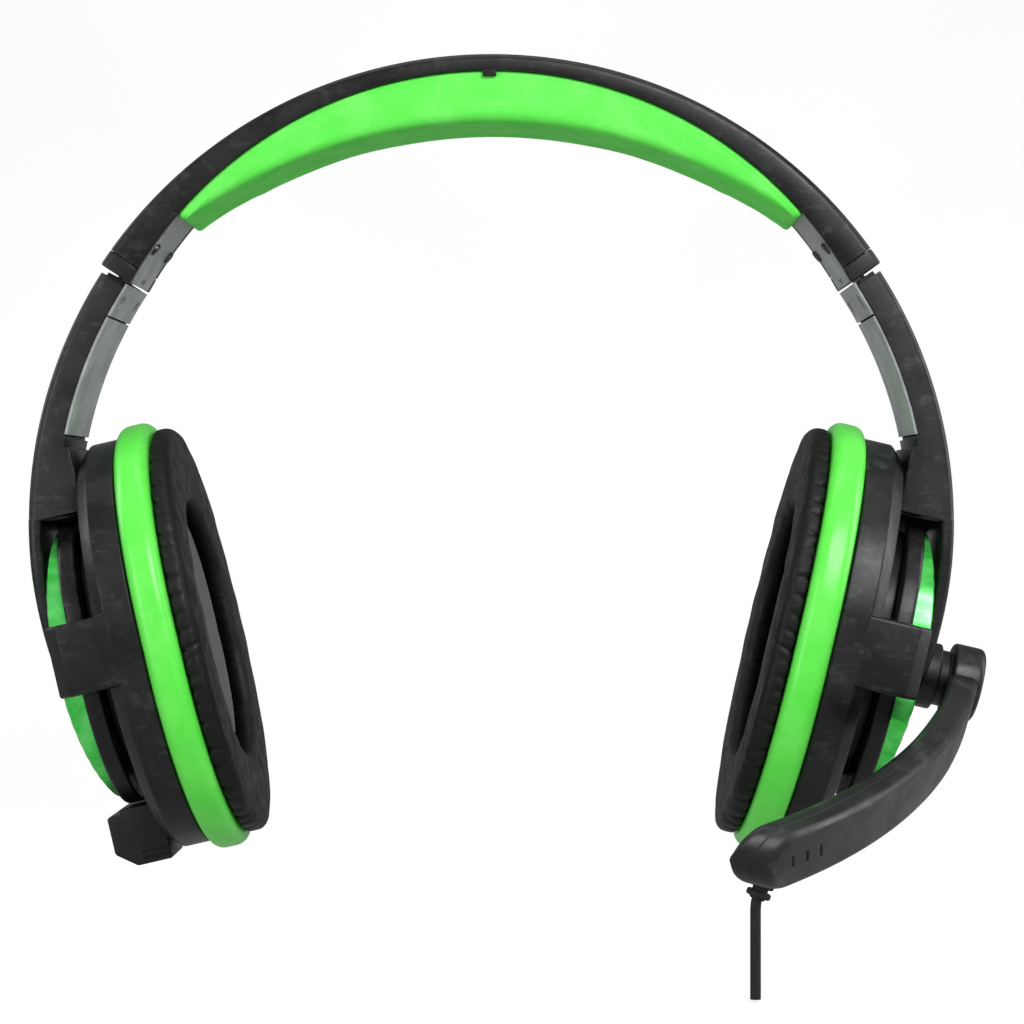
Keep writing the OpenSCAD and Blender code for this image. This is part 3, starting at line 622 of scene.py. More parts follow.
cover = arc_loft("headband_lining", GREY, np.linspace(-56.4, 56.4, 115), cover_section, bulge=0.25)
for side in (-1, 1):
    for y in (-BAND_SCREW_Y, BAND_SCREW_Y):
        boolean(cover, radial_hole(side * BAND_SCREW_A, y, 1.15, 98.2))
    notch = side * 55.6
    boolean(cover, arc_loft("notch", GREY, [notch - 0.28, notch + 0.28],
                            lambda a: rectangle(DEEP_R, inner_radius(a) + 0.35, -3, 3)))
    line_ends = sorted((side * 44.6, side * 55.0))
    for y in (-9.3, 9.3):
        boolean(cover, arc_loft("line", GREY, np.linspace(*line_ends, 12),
                                lambda a: rectangle(DEEP_R, inner_radius(a) + 0.22, y - 0.2, y + 0.2)))
place(cover, "headband", "grey_trim", "headband_inner_cover")


def screw(centre, axis, head_r, head_h, length, shank_r):
    """(vertices, faces) of a cross-recessed pan-head screw that points along axis from its head's outer face."""
    axis = np.array(axis, float) / np.linalg.norm(axis)
    side = np.cross(axis, (0, 1, 0))
    side /= np.linalg.norm(side)
    other = np.cross(axis, side)
    recess = [(0.85 * head_h, 0.10 * head_r), (0.80 * head_h, 0.28 * head_r), (0.0, 0.44 * head_r)]
    profile = [(0.12 * head_h, head_r * 0.86), (0.42 * head_h, head_r), (head_h, head_r), (head_h, shank_r),
               (length, shank_r * 0.96)]
    rings = []
    for j, (ring_depth, ring_r) in enumerate(recess + profile):
        ring = []
        for k in range(SCREW_SIDES):
            t = 2 * pi * k / SCREW_SIDES
            in_cross = abs(sin(2 * t)) < 0.42
            depth = 0.06 * head_h if j < 2 and not in_cross else ring_depth
            r = head_r * 0.40 if j == 1 and in_cross else ring_r
            ring.append(centre + axis * depth + side * r * cos(t) + other * r * sin(t))
        rings.append(ring)
    return grid(rings)


def screws(name, material, items):
    """One object with a screw for each item, which holds screw()'s arguments."""
    verts, faces = [], []
    for item in items:
        v, f = screw(*item)
        faces += [tuple(i + len(verts) for i in face) for face in f]
        verts += v
    return make(name, verts, faces, material, 40)


band_screws = screws("headband_screw_set", STEEL,
                     [(polar(96.0, a, y), polar(1, a, 0), 1.5, 0.65, 6.0, 0.9)
                      for a in (-BAND_SCREW_A, BAND_SCREW_A) for y in (-BAND_SCREW_Y, BAND_SCREW_Y)])
place(band_screws, "headband", "steel", "headband_screws")


# The pad: a padded strip with blunt ends, pinned along its upper side and inflated below
def pad_limits(a):
    """Radii of the pad's underside and upper side, a degrees from the top."""
    t = radians(a)
    drop = PAD_LOW_Z - PAD_R
    low = drop * cos(t) + sqrt(PAD_R ** 2 - (drop * sin(t)) ** 2)
    return low, inner_radius(a, PAD_TOP_R)


def pad_rings(count, size, shrink):
    """Sections across the pad from end to end, as (angle, points); shrink leaves room for it to swell."""
    end = PAD_END - 0.25
    soft_end = 1.0
    angles = [end * sin(pi * (i / (count - 1) - 0.5)) for i in range(count)]
    rings = []
    for a in angles:
        low, top = pad_limits(a)
        to_end = max(0.0, (end - abs(a)) / soft_end)
        tuck = 0.9 * (1 - sqrt(max(0.0, 1 - (1 - min(1.0, to_end)) ** 2)))
        low += shrink * min(1.0, to_end) + tuck
        half = PAD_W / 2 - shrink * 0.5 - tuck
        radius = min(1.9, (top - low) * 0.42)
        corners = [(top, -half), (low, -half), (low, half), (top, half)]
        outline = rounded(corners, [0.5, radius, radius, 0.5], 6)
        rings.append([polar(r, a, y) for r, y in evenly(outline, size)])
    return np.array(rings)


def depth_under_roof(p):
    """How far a point is below the pad's upper side."""
    return inner_radius(degrees(atan2(p[0], p[2])), PAD_TOP_R) - hypot(p[0], p[2])


PAD_SIDE = 13.0                                     # beyond this, front to back, lies the pad's side
CREASE_IN, CREASE_DOWN, CREASE_W = 0.28, 1.5, 0.35  # the crease along it: depth, place below the top, width
coarse = pad_rings(41, 48, 0.4)
roof = np.array([[depth_under_roof(p) < 0.35 for p in ring] for ring in coarse])
roof[:2] = roof[-2:] = True
soft = inflate("pad_sim", coarse, roof, 0.55, False)
soft = resample(resample(soft, 201, 0, False), 144, 1, True)
for ring in soft:
    for p in ring:
        depth = depth_under_roof(p)
        if abs(p[1]) > PAD_SIDE:
            p[1] -= copysign(CREASE_IN * exp(-((depth - CREASE_DOWN) / CREASE_W) ** 2), p[1])
        p[1] = max(-PAD_W / 2, min(PAD_W / 2, p[1]))
        if depth < 0:
            p[:] = p * (1 + depth / hypot(p[0], p[2])) * [1, 0, 1] + [0, p[1], 0]
pad = make("headband_pad_cushion", *grid(soft), GREEN_PAD, 60)
place(pad, "headband", "green_pad", "headband_pad")


# ---- Arms ----
def arm_station(alpha):
    """(inner radius, outer radius, half-width) of the arm, alpha degrees above the cup's outward direction."""
    t = radians(alpha)
    if alpha > 23.09:
        r_in = ARM_IN_R
    elif alpha >= 14.82:
        r_in = (BRACKET_N + CUP_OUT) / cos(t)
    elif alpha > 13.36:
        r_in = (BRACKET_U - CUP_DOWN) / sin(t)
    else:
        r_in = SPINE_R
    u = ARM_R * sin(t) + CUP_DOWN
    if u > 22:
        half = ARM_W / 2
    elif u > 0:
        half = SPINE_TIP + (ARM_W / 2 + 1 - SPINE_TIP) * u / 33
    else:
        half = sqrt(max(SPINE_TIP ** 2 - u * u, 0.04))
    return r_in, ARM_R, min(half, ARM_W / 2)


# Stations down the arm: along the arc, over the bracket, down the spine and round its tip
alphas = [CUP_TURN - a for a in np.linspace(ARM_START, 80.1, 30)]
alphas += [23.07, 22.5, 21.5, 20, 18.5, 17, 15.8, 15.2, 14.84, 14.6, 14.2, 13.8, 13.5, 13.37, 13.3]
alphas += [12.5, 11.5, 10, 8, 6, 4, 2, 0, -1.5, -3, -4.5]
alphas += [degrees(asin((-SPINE_TIP * sin(t) - CUP_DOWN) / ARM_R))
           for t in np.linspace(0.12, 1.555, 16)]
arm_rings = []
for alpha in alphas:
    r_in, r_out, half = arm_station(alpha)
    soften = min(1.0, half / 3)
    outline = rounded([(r_in, -half), (r_in, half), (r_out, half), (r_out, -half)],
                      [0.7 * soften, 0.7 * soften, 1.8 * soften, 1.8 * soften], 4)
    arm_rings.append([polar(r, CUP_TURN - alpha, y) for r, y in outline])
arm = make("arm_body", *grid(arm_rings), ARM_BLACK, 30)


def arm_tool(name, start, end, count, outline, operation="DIFFERENCE"):
    """Cuts a bar out of the arm, or joins it on, between two angles along the arc."""
    boolean(arm, arc_loft(name, ARM_BLACK, np.linspace(start, end, count), lambda a: outline), operation)


channel, slot = CHANNEL_W / 2, STRIP_R - 0.05
arm_tool("channel", CLAMP_END, LINER_END, 18, rectangle(DEEP_R, ARM_HOLLOW_R, -channel, channel))
arm_tool("boss", CAP_END + 0.3, ARM_START + 0.5, 4, rectangle(97.6, 101.6, -13.7, 13.7), "UNION")
arm_tool("mouth", CAP_END - 1, CLAMP_END + 0.05, 8, rectangle(DEEP_R, 99.1, -12.55, 12.55))
arm_tool("seat", CAP_END - 1, LINER_END + 0.3, 30, rectangle(DEEP_R - 1, ARM_IN_R + 0.8, -20, 20))
arm_tool("strip_slot", CAP_END - 1.2, 68, 14, rectangle(slot, slot + 1.1, -8.05, 8.05))
knuckle = revolve("knuckle", ARM_BLACK, [(-8, 2.3), (-7.6, KNUCKLE_R), (7.6, KNUCKLE_R), (8, 2.3)],
                  lambda r, t, h: cup(PIVOT_N + r * cos(t), h, r * sin(t)), 40)
boolean(arm, knuckle, "UNION")
boolean(arm, prism("stem", ARM_BLACK, rounded(rectangle(PIVOT_N, 25.5, -2.4, 2.4), 0.4), -7.9, 7.9,
                   across_cup, 0.3), "UNION")
boolean(arm, prism("lip", ARM_BLACK, rounded(rectangle(13.05, 23.4, 29.45, 33.0), 0.5), 12.45, 14.95,
                   across_cup, 0.4), "UNION")
# Two panel lines cut along the outside of the arm
for y0, y1 in ((-10.6, -9.9), (9.9, 10.6)):
    arm_tool("panel", 61.0, 86.0, 40, rounded(rectangle(102.7, CLEAR_R, y0, y1), 0.1, 2))
pair(arm, "arm", "black_plastic", "arm")


def lining_section(top_r, plug):
    """A full-width plate with a narrower plug behind it."""
    w, step = LINING_W / 2, ARM_IN_R + LINING_T
    return rounded([(ARM_IN_R, -w), (ARM_IN_R, w), (step, w), (step, plug), (top_r, plug), (top_r, -plug),
                    (step, -plug), (step, -w)], [0.35, 0.35, 0.15, 0.05, 0.1, 0.1, 0.05, 0.15], 3)


liner = arc_loft("arm_lining", GREY, np.linspace(CLAMP_END + 0.25, LINER_END - 0.2, 36),
                 lambda a: lining_section(LINER_TOP_R, CHANNEL_W / 2 - 0.1))
pair(liner, "arm", "grey_trim", "arm_liner")

clamp = arc_loft("slider_clamp_plate", GREY, np.linspace(CAP_END + 0.3, CLAMP_END, 12),
                 lambda a: lining_section(99.05, 12.4))
CLAMP_A = (ARM_START + CLAMP_END) / 2
for y in (-CLAMP_SCREW_Y, CLAMP_SCREW_Y):
    boolean(clamp, radial_hole(CLAMP_A, y, 1.9, 97.7))
pair(clamp, "arm", "grey_trim", "slider_clamp")
clamp_screws = screws("clamp_screw_set", STEEL,
                      [(polar(96.6, CLAMP_A, y), polar(1, CLAMP_A, 0), 1.8, 1.05, 5.2, 0.9)
                       for y in (-CLAMP_SCREW_Y, CLAMP_SCREW_Y)])
pair(clamp_screws, "arm", "steel", "clamp_screws")

# ---- Ear cups ----
housing_profile = rounded([(BACK_N - 2, 0.01), (BACK_N - 2, CUP_R - 2.2), (RIM_N, CUP_R - 2.2),
                           (RIM_N, CUP_R - 0.5), (RIM_N + 0.5, CUP_R), (BACK_N - 2.6, CUP_R), (BACK_N, CUP_R - 2.6), (BACK_N, NECK_R),
                           (COVER_N - 0.05, NECK_R), (COVER_N - 0.05, 0.01)],
                          [0, 0.4, 0.3, 0.2, 0.2, 0.6, 0.6, 0.8, 0.6, 0], 4)
housing = oval_sweep("housing_body", BLACK, housing_profile, CUP_HALF, closed=False, count=128)
lug_outline = rounded([(9, CUP_R - 1.5), (9, LUG_Y), (LUG_N - 2.8, LUG_Y), (LUG_N, LUG_Y - 2.8),
                       (LUG_N, COVER_R + 0.2), (BACK_N - 1.5, COVER_R + 0.2), (BACK_N - 1.5, CUP_R - 1.5)],
                      [0, 0.15, 0.7, 0.7, 0.5, 0, 0], 4)
for way in (-1, 1):
    lug = prism("lug", BLACK, lug_outline, LUG_U - LUG_HALF, LUG_U + LUG_HALF,
                lambda a, b, h: cup(a, way * b, h), 0.7)
    boolean(housing, lug, "UNION")


def pocket():
    """The tool for the round recess behind the arm's knuckle."""
    rings = [[cup(n, POCKET_R * sy, -POCKET_DROP / 2 + s * POCKET_DROP / 2 + POCKET_R * su)
              for sy, su, s in oval_loop(72)] for n in (COVER_N - 1, 40)]
    return make("pocket", *grid(rings), BLACK)


boolean(housing, pocket())
pair(housing, "cup", "black_plastic", "housing")

ring_low, ring_high = RING_N - RING_W / 2, RING_N + RING_W / 2
ring_profile = rounded([(ring_low + 0.1, 39), (ring_low, RING_R), (ring_high, RING_R), (ring_high - 0.1, 39)],
                       [0.1, RING_ROUND, RING_ROUND, 0.1], 9)
ring = oval_sweep("trim_ring_body", GREEN_RING, ring_profile, CUP_HALF, count=144, smooth=50)
pair(ring, "cup", "green_plastic", "trim_ring")


# The cushion: an oval bag pinned at its back and inflated, then gathered into pleats beside the ring
def cushion_rings(count, size, shrink):
    """Sections round the cushion's oval; shrink leaves room for it to swell."""
    face, back = CUSHION_FACE + shrink, CUSHION_BACK - 0.1
    inner, outer = EAR_R + shrink * 0.5, CUSHION_R - shrink * 0.5
    corners = [(back, inner + 1.2), (face, inner), (face, outer), (back, outer)]
    section = evenly(rounded(corners, [0.8, 3.3, 3.6, 0.8], 6), size)
    rings = []
    straight = 2 * CUP_HALF
    turn = pi * (inner + outer) / 2
    total = 2 * (turn + straight)
    for i in range(count):
        s = (i / count * total + straight / 2) % total
        half_no, s = divmod(s, turn + straight)
        flip = 1 if half_no == 0 else -1
        if s < straight:
            sy, su, u0 = 1.0, 0.0, CUP_HALF - s
        else:
            t = (s - straight) / turn * pi
            sy, su, u0 = cos(t), -sin(t), -CUP_HALF
        rings.append([cup(n, flip * r * sy, flip * (u0 + r * su)) for n, r in section])
    return np.array(rings)


coarse = cushion_rings(72, 28, 1.0)
local_n = (coarse - CUP) @ AXIS
soft = inflate("cushion_sim", coarse, local_n > CUSHION_BACK - 0.6, 1.1, True)
STITCHES, AROUND = 720, 84              # points along the oval, and round each section
HALF_WIDTH, HALF_DEPTH = 9.4, 2.7       # of the section; they turn the push on a point outwards
PLEAT_REACH = 4.6                       # how far the pleats run from the back towards the face
soft = resample(resample(soft, STITCHES, 0, True), AROUND, 1, True)
rng = np.random.default_rng(5)
pleats = np.zeros(STITCHES)
position = 0.0
where = np.arange(STITCHES)
while position < STITCHES:
    width, depth = rng.uniform(1.0, 2.0), rng.uniform(0.35, 1.0)
    gap = np.abs((where - position + STITCHES / 2) % STITCHES - STITCHES / 2)
    pleats = np.maximum(pleats, depth * np.exp(-(gap / width) ** 2))
    position += rng.uniform(6.0, 13.0)
reach = resample(rng.uniform(0.55, 1.25, 60), STITCHES, 0, True)
lean = resample(rng.uniform(-3.0, 3.0, 40), STITCHES, 0, True)
dents = resample(resample(rng.normal(0, 0.10, (48, 12)), STITCHES, 0, True), AROUND, 1, True)
n_of = (soft - CUP) @ AXIS
u_of = (soft - CUP) @ UP
y_of = soft[:, :, 1]
u_core = np.clip(u_of, -CUP_HALF, CUP_HALF)
radius_of = np.hypot(y_of, u_of - u_core)
middle_r, middle_n = (CUSHION_R + EAR_R) / 2, (CUSHION_FACE + CUSHION_BACK) / 2
outward = (y_of[..., None] * BACK + (u_of - u_core)[..., None] * UP) / radius_of[..., None]
push = outward * (radius_of - middle_r)[..., None] / HALF_WIDTH
push += AXIS * (n_of - middle_n)[..., None] / HALF_DEPTH
push /= np.linalg.norm(push, axis=2, keepdims=True)
depth_from_back = CUSHION_BACK - n_of
amount = np.zeros_like(n_of)
for j in range(AROUND):
    shifted = np.interp((where + lean * depth_from_back[:, j] * 0.25) % STITCHES, where, pleats)
    fade = np.clip(1 - depth_from_back[:, j] / (PLEAT_REACH * reach), 0, 1) ** 1.1
    wall = np.where(radius_of[:, j] > middle_r, 1.0, 0.45)
    amount[:, j] = -shifted * fade * wall * np.clip(depth_from_back[:, j] / 0.5 + 0.25, 0, 1)
soft = soft + push * (amount + dents * np.clip(depth_from_back / 4, 0, 1))[..., None]
n_of = (soft - CUP) @ AXIS
soft -= AXIS * np.maximum(n_of - CUSHION_BACK, 0)[..., None]
cushion = make("ear_cushion_skin", *grid(soft, closed=True), LEATHER, 75)
pair(cushion, "cup", "cushion_leatherette", "ear_cushion")

cloth_profile = [(-4.9, 0.01), (-4.9, 23.6), (-5.2, 23.7), (-5.45, 23.3)]
cloth_profile += [(-5.45 - 0.25 * (1 - (r / 23.3) ** 2), r) for r in (20, 16, 12, 8, 4, 0.01)]
cloth = oval_sweep("speaker_cloth_disc", CLOTH, cloth_profile, CUP_HALF, closed=False, count=96, smooth=60)
pair(cloth, "cup", "speaker_cloth", "speaker_cloth")

cover_profile = rounded([(COVER_N, 0.01), (COVER_N, COVER_R), (PLATE_N - 0.05, COVER_R),
                         (PLATE_N - 0.05, 0.01)], [0, 0.8, 0.9, 0], 5)
cover_profile[:, 1] = np.maximum(cover_profile[:, 1], 0.01)
back_cover = oval_sweep("back_cover_shell", BLACK, cover_profile, COVER_HALF, COVER_U, closed=False, count=112)
boolean(back_cover, pocket())
pair(back_cover, "cup", "black_plastic", "back_cover")

# The decor plate: a dished annulus whose face is cut into slanted facets
PLATE_STEPS, FACETS = 16, 40
FACET_DEPTH, FACET_LEAN = 0.42, 4.0     # how deep a facet's fold is, and how far it slants, in oval points
PLATE_HOLE_R = 14.3
plate_rings = []
loop = oval_loop(160)
for k, (sy, su, s) in enumerate(loop):
    inner = np.array([PLATE_HOLE_R * sy, -POCKET_DROP / 2 + s * POCKET_DROP / 2 + PLATE_HOLE_R * su])
    outer = np.array([PLATE_R * sy, COVER_U + s * COVER_HALF + PLATE_R * su])
    column = [(PLATE_N, *inner)]
    for j in range(PLATE_STEPS + 1):
        t = j / PLATE_STEPS
        y, u = inner + (outer - inner) * t
        dome = DOME_N - (u - COVER_U) ** 2 / (2 * DOME_R)
        phase = (FACETS * (k + FACET_LEAN * t * (1 if s > 0 else -1)) / len(loop)) % 1.0
        facet = (1 - abs(2 * phase - 1)) * FACET_DEPTH * min(1.0, t * 6) * min(1.0, (1 - t) * 6)
        column.append((dome - 0.15 - facet - 0.45 * max(0.0, t - 0.94) / 0.06, y, u))
    column.append((PLATE_N, *outer))
    plate_rings.append([cup(*p) for p in column])
plate = make("decor_plate_face", *grid(plate_rings, closed=True), CHROME, 14)
pair(plate, "cup", "green_chrome", "decor_plate")

# ---- Outlet blocks ----
for side_name, low in (("left", -44.5), ("right", -48.0)):
    outline = rounded([(BLOCK_N0, low), (20.1, low), (BLOCK_N1, low + 3.5), (BLOCK_N1, BLOCK_STEP),
                       (BLOCK_STEP_N, BLOCK_STEP), (BLOCK_STEP_N, BLOCK_TOP), (BLOCK_N0, BLOCK_TOP)],
                      [0.5, 1.2, 1.2, 0.6, 0.5, 0.5, 0.5], 4)
    block = prism("outlet_block_body_" + side_name, CONTROL, outline, -BLOCK_HALF, BLOCK_HALF, across_cup, 0.4)
    for u in (low + 1.4, low + 2.8):
        boolean(block, prism("rib", CONTROL, rectangle(11, 18.5, u - 0.25, u + 0.25), -10, -8.7, across_cup))
    if side_name == "right":
        block.data.transform(Matrix.Scale(-1, 4, (1, 0, 0)))
        block.data.flip_normals()
    place(block, "cup_" + side_name, "black_plastic", "outlet_block_" + side_name)


# ---- Microphone ----
def about_mic(r, t, h):
    """A point round the microphone's axis: radius, angle and distance outwards."""
    return cup(h, r * cos(t), MIC_U + r * sin(t))


hub_profile = rounded([(26.8, 0.01), (26.8, MIC_HUB_R), (MIC_HUB_N - 2.2, MIC_HUB_R),
                       (MIC_HUB_N - 2.2, MIC_HUB_R - 1.2), (MIC_HUB_N, MIC_HUB_R - 1.2), (MIC_HUB_N, 2.56),
                       (27.2, 2.56), (27.2, 0.01)],
                      [0, 0, 0.5, 0.25, 0.4, 0.1, 0.1, 0], 4)
hub = revolve("mic_hub_turned", DARK, hub_profile[:-1], about_mic, 72)
place(hub, "arm_left", "dark_plastic", "mic_hub")

base_profile = rounded([(MIC_N0, 2.6), (MIC_N0, MIC_BASE_R), (MIC_N1, MIC_BASE_R), (MIC_N1, 5.65),
                        (MIC_N1 - 1.45, 5.65), (MIC_N1 - 1.45, 4.15), (MIC_N0 + 2.5, 4.15),
                        (MIC_N0 + 2.5, 2.6)], [0.1, 0.8, 2.0, 0.25, 0.1, 0.1, 0.1, 0.1], 5)
base_rings = [[about_mic(r, 2 * pi * k / 80, h) for h, r in base_profile] for k in range(80)]
base = make("mic_base_turned", *grid(base_rings, closed=True), ARM_BLACK)
place(base, "mic", "black_plastic", "mic_base")
cap_profile = rounded([(MIC_N1 - 1.4, 0.01), (MIC_N1 - 1.4, 5.5), (MIC_N1 - 0.35, 5.5), (MIC_N1 - 0.3, 3.9),
                       (MIC_N1 - 0.5, 3.7), (MIC_N1 - 0.5, 0.01)], [0, 0.1, 0.35, 0.1, 0.1, 0], 4)
cap_profile[:, 1] = np.maximum(cap_profile[:, 1], 0.01)
place(revolve("mic_cap_disc", DARK, cap_profile, about_mic, 64), "mic", "gloss_black", "mic_cap")


def boom_half(name, r0, r1, outer):
    """Half of the boom's thickness, with its outside corners well rounded."""
    tip = BOOM_LEN - BOOM_W / 2
    xs = list(np.arange(BOOM_START, tip, 1.6))
    xs += [tip + BOOM_W / 2 * sin(t) for t in np.linspace(0, 1.5, 12)]
    rings = []
    for x in xs:
        share = min(1.0, x / BOOM_TAPER)
        half = (BOOM_ROOT_W + (BOOM_W - BOOM_ROOT_W) * share) / 2
        over = max(0.0, x - tip)
        half = min(half, sqrt(max((BOOM_W / 2) ** 2 - over ** 2, 0.3)))
        big = min(2.4, half * 0.7)
        radii = [0.02, 0.02, big, big] if outer else [big, big, 0.02, 0.02]
        section = rounded([(r0, -half), (r0, half), (r1, half), (r1, -half)], radii, 5)
        rings.append([boom(x, BOOM_CY + sqrt(r * r - (x - BOOM_CX) ** 2), z) for r, z in section])
    return make(name, *grid(rings), ARM_BLACK, 40)


outer_half = boom_half("mic_boom_shell", BOOM_R + 0.01, BOOM_R + BOOM_T / 2, True)
for i in range(3):
    x = BOOM_LEN - 5.3 - 4.1 * i
    slot_shape = rounded([(x - 0.95, -1.5), (x - 0.15, -1.5), (x + 0.95, 1.5), (x + 0.15, 1.5)], 0.35, 4)
    boolean(outer_half, prism("slot", DARK, slot_shape, -8, 18, lambda a, b, h: boom(a, h, b)))
place(outer_half, "mic", "black_plastic", "mic_boom")
inner_half = boom_half("mic_boom_lid", BOOM_R - BOOM_T / 2, BOOM_R - 0.01, False)
tip_x = BOOM_LEN - BOOM_W / 2 - 1
tip_y = BOOM_CY + sqrt(BOOM_R ** 2 - (tip_x - BOOM_CX) ** 2)
for k in range(7):
    dx, dz = (0, 0) if k == 6 else (1.9 * cos(k * pi / 3), 1.9 * sin(k * pi / 3))
    boolean(inner_half, revolve("port", DARK, [(tip_y - 14, 0.5), (tip_y - 0.5, 0.5)],
                                lambda r, t, h: boom(tip_x + dx + r * cos(t), h, dz + r * sin(t)), 16))
place(inner_half, "mic", "dark_plastic", "mic_boom_cover")

# ---- Cable ----
boot_profile = [(-0.3, 0.01), (-0.3, 2.1), (-0.5, 2.3), (-1.55, 2.3), (-1.75, 2.05), (-1.8, 1.85)]
for i in range(5):
    low = -3.9 - 2.3 * i
    rib = [(1.4, 1.85), (1.38, 2.6), (1.15, 2.88), (0.25, 2.88), (0.02, 2.6), (0, 1.85)]
    boot_profile += [(low + h, r) for h, r in rib]
boot_profile += [(-BOOT_LEN, 1.75), (-BOOT_LEN, 0.01)]
place(revolve("cable_boot_ribbed", RUBBER, boot_profile, boot, 40), "cup_left", "cable_rubber", "cable_boot")

exit_point = boot(0, 0, -BOOT_LEN - 0.8)
start_point = boot(0, 0, -BOOT_LEN + 2.5)
path = [start_point, boot(0, 0, -BOOT_LEN + 0.6)]
below = np.array([CABLE_X, 0, exit_point[2] - 2.2])
for t in np.linspace(0, 1, 9):
    a = path[1] + (exit_point - path[1]) * t
    b = exit_point + (below - exit_point) * t
    path.append(a + (b - a) * t)
path += [np.array([CABLE_X, 0, z]) for z in np.linspace(below[2] - 1, CABLE_END_Z, 10)]
cable_rings = []
for i, p in enumerate(path):
    ahead = path[min(i + 1, len(path) - 1)] - path[max(i - 1, 0)]
    ahead /= np.linalg.norm(ahead)
    across = np.cross(ahead, BACK)
    across /= np.linalg.norm(across)
    cable_rings.append([p + CABLE_R * (across * cos(t) + BACK * sin(t))
                        for t in np.linspace(0, 2 * pi, 24, False)])
centre = path[-1]
cut_end = cable_rings[-1]
for share, lift in ((0.84, 0.0), (0.80, 0.7)):
    cable_rings.append([centre + (v - centre) * share + np.array([0, 0, lift]) for v in cut_end])
place(make("cable_lead", *grid(cable_rings), RUBBER, 40), "cup_left", "cable_rubber", "cable")

# ---- CAD nodes that stay ----
shown = {
    "spring_band": BRIGHT, "detent_spring": BRIGHT, "link_wire": RUBBER, "slider_strip": STRIP, "baffle": DARK,
    "baffle_screws": STEEL, "driver_frame": DARK, "driver_cone": FILM, "driver_magnet": MAGNET,
    "cover_screws": STEEL, "tilt_pin": BRIGHT, "mic_pin": BRIGHT, "mic_washer": RUBBER, "mic_capsule": MAGNET,
    "cable_cores": COPPER,
}
for name, obj in frame["nodes"].items():
    if obj.hide_render:
        continue
    stem = name.replace("_left", "").replace("_right", "")
    obj.data.materials.clear()
    obj.data.materials.append(shown[stem])
    weld = obj.modifiers.new("weld", "WELD")
    weld.merge_threshold = 2e-6

# ---- Stage, lights and camera ----
floor_z = CABLE_END_Z - 0.6
sheet_half, sheet_front, sheet_back, sheet_top, bend_r = 2600, -1800, 900, 1900, 500
sweep = [(sheet_front, floor_z), (sheet_back - bend_r, floor_z)]
sweep += [(sheet_back - bend_r + bend_r * sin(t), floor_z + bend_r * (1 - cos(t)))
          for t in np.linspace(0.1, 1.5, 12)]
sweep += [(sheet_back, floor_z + bend_r), (sheet_back, sheet_top)]
verts = [np.array([x, y, z]) for y, z in sweep for x in (-sheet_half, sheet_half)]
paper = Nodes("floor_paper")
tone = paper.noise(0.004, 3, 0.5)
fibre = paper.noise(0.6, 4, 0.6)
paper_colour = paper.mix(paper.ramp(tone, 0, 0.3, 0.7), (0.40, 0.40, 0.40, 1), (0.44, 0.44, 0.44, 1))
paper.finish(paper_colour, paper.ramp(fibre, 0, 0.3, 0.7, 0.8, 0.95), paper.bump(fibre, 0.1, 0.05))
seen = paper.add("ShaderNodeLightPath")
glow = paper.maths("MULTIPLY", seen, 0.72)
paper.link(glow, 0, paper.surface, "Emission Strength")
paper.surface.inputs["Emission Color"].default_value = (1, 1, 1, 1)
# From behind, the sheet can't be seen, so the headset shows from every side
behind = paper.add("ShaderNodeMath", operation="MULTIPLY")
paper.link(paper.add("ShaderNodeNewGeometry"), "Backfacing", behind, 0)
paper.link(seen, "Is Camera Ray", behind, 1)
shade = paper.add("ShaderNodeMixShader")
for socket, source in ((1, paper.surface), (2, paper.add("ShaderNodeBsdfTransparent"))):
    paper.link(source, "BSDF", shade, socket)
paper.link(behind, 0, shade, 0)
paper.link(shade, 0, paper.out, "Surface")
strips = [(2 * i, 2 * i + 1, 2 * i + 3, 2 * i + 2) for i in range(len(sweep) - 1)]
backdrop = make("backdrop_floor", verts, strips, paper.material, 60)
if backdrop.data.polygons[0].normal.z < 0:
    backdrop.data.flip_normals()

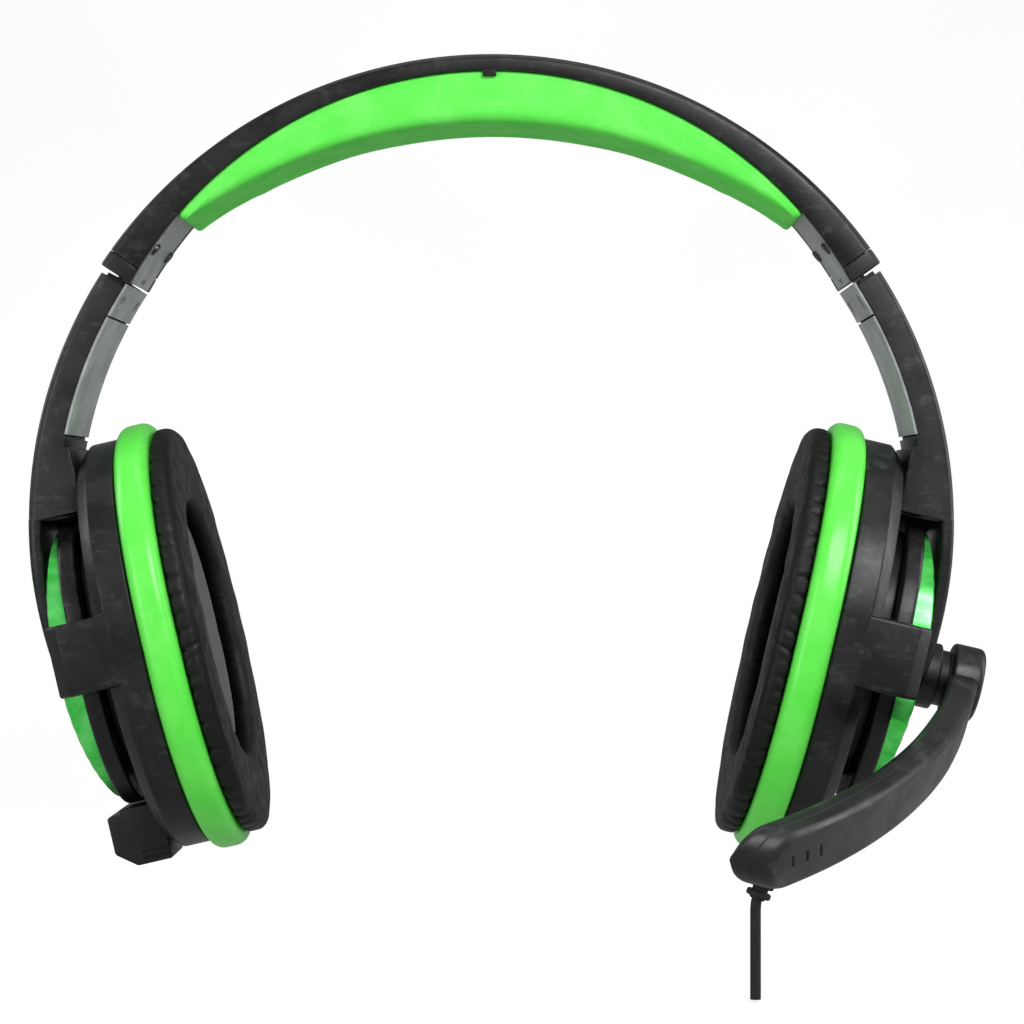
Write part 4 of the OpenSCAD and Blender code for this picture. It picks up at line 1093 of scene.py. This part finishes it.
world = bpy.data.worlds.new("studio")
world.use_nodes = True
scene.world = world
world.node_tree.nodes["Background"].inputs["Color"].default_value = (1.0, 1.0, 1.0, 1.0)
world.node_tree.nodes["Background"].inputs["Strength"].default_value = 0.36


def softbox(name, location, target, size, watts):
    """A white rectangular light; places and sizes are in millimetres."""
    data = bpy.data.lights.new(name, "AREA")
    data.shape, data.size, data.size_y, data.energy = "RECTANGLE", size[0] * MM, size[1] * MM, watts
    light = bpy.data.objects.new(name, data)
    scene.collection.objects.link(light)
    light.location = Vector(location) * MM
    direction = (Vector(target) - Vector(location)).normalized()
    light.rotation_mode = "QUATERNION"
    light.rotation_quaternion = direction.to_track_quat("-Z", "Y")


softbox("key", (300, -640, 460), (0, 0, 10), (420, 420), 4.4)
softbox("fill", (-500, -520, 120), (0, 0, 0), (300, 500), 1.2)
softbox("right_edge", (560, 60, 160), (80, 0, 0), (200, 500), 1.3)
softbox("left_edge", (-560, 120, 260), (-80, 0, 20), (200, 400), 0.7)
softbox("top", (0, 40, 620), (0, 0, 60), (500, 300), 0.8)

VIEW_DISTANCE, VIEW_HEIGHT, SPAN = 650.0, 4.8, 232.7  # SPAN is the frame's width at the headset
VIEW_YAW = radians(1.3)
AIM_RIGHT, AIM_UP = 4.772, -2.727                     # the frame's centre, from the point straight ahead
SENSOR = 36.0
camera_data = bpy.data.cameras.new("camera")
camera_data.sensor_width = SENSOR
camera_data.lens = SENSOR * VIEW_DISTANCE / SPAN
camera_data.shift_x, camera_data.shift_y = AIM_RIGHT / SPAN, AIM_UP / SPAN
camera_data.clip_start, camera_data.clip_end = 0.05, 20
camera = bpy.data.objects.new("camera", camera_data)
scene.collection.objects.link(camera)
turn = Matrix.Rotation(VIEW_YAW, 4, "Z")
camera.location = turn @ (Vector((0, -VIEW_DISTANCE, VIEW_HEIGHT)) * MM)
camera.rotation_euler = (pi / 2, 0, VIEW_YAW)
scene.camera = camera
scene.view_settings.view_transform = "Standard"

bpy.context.view_layer.update()
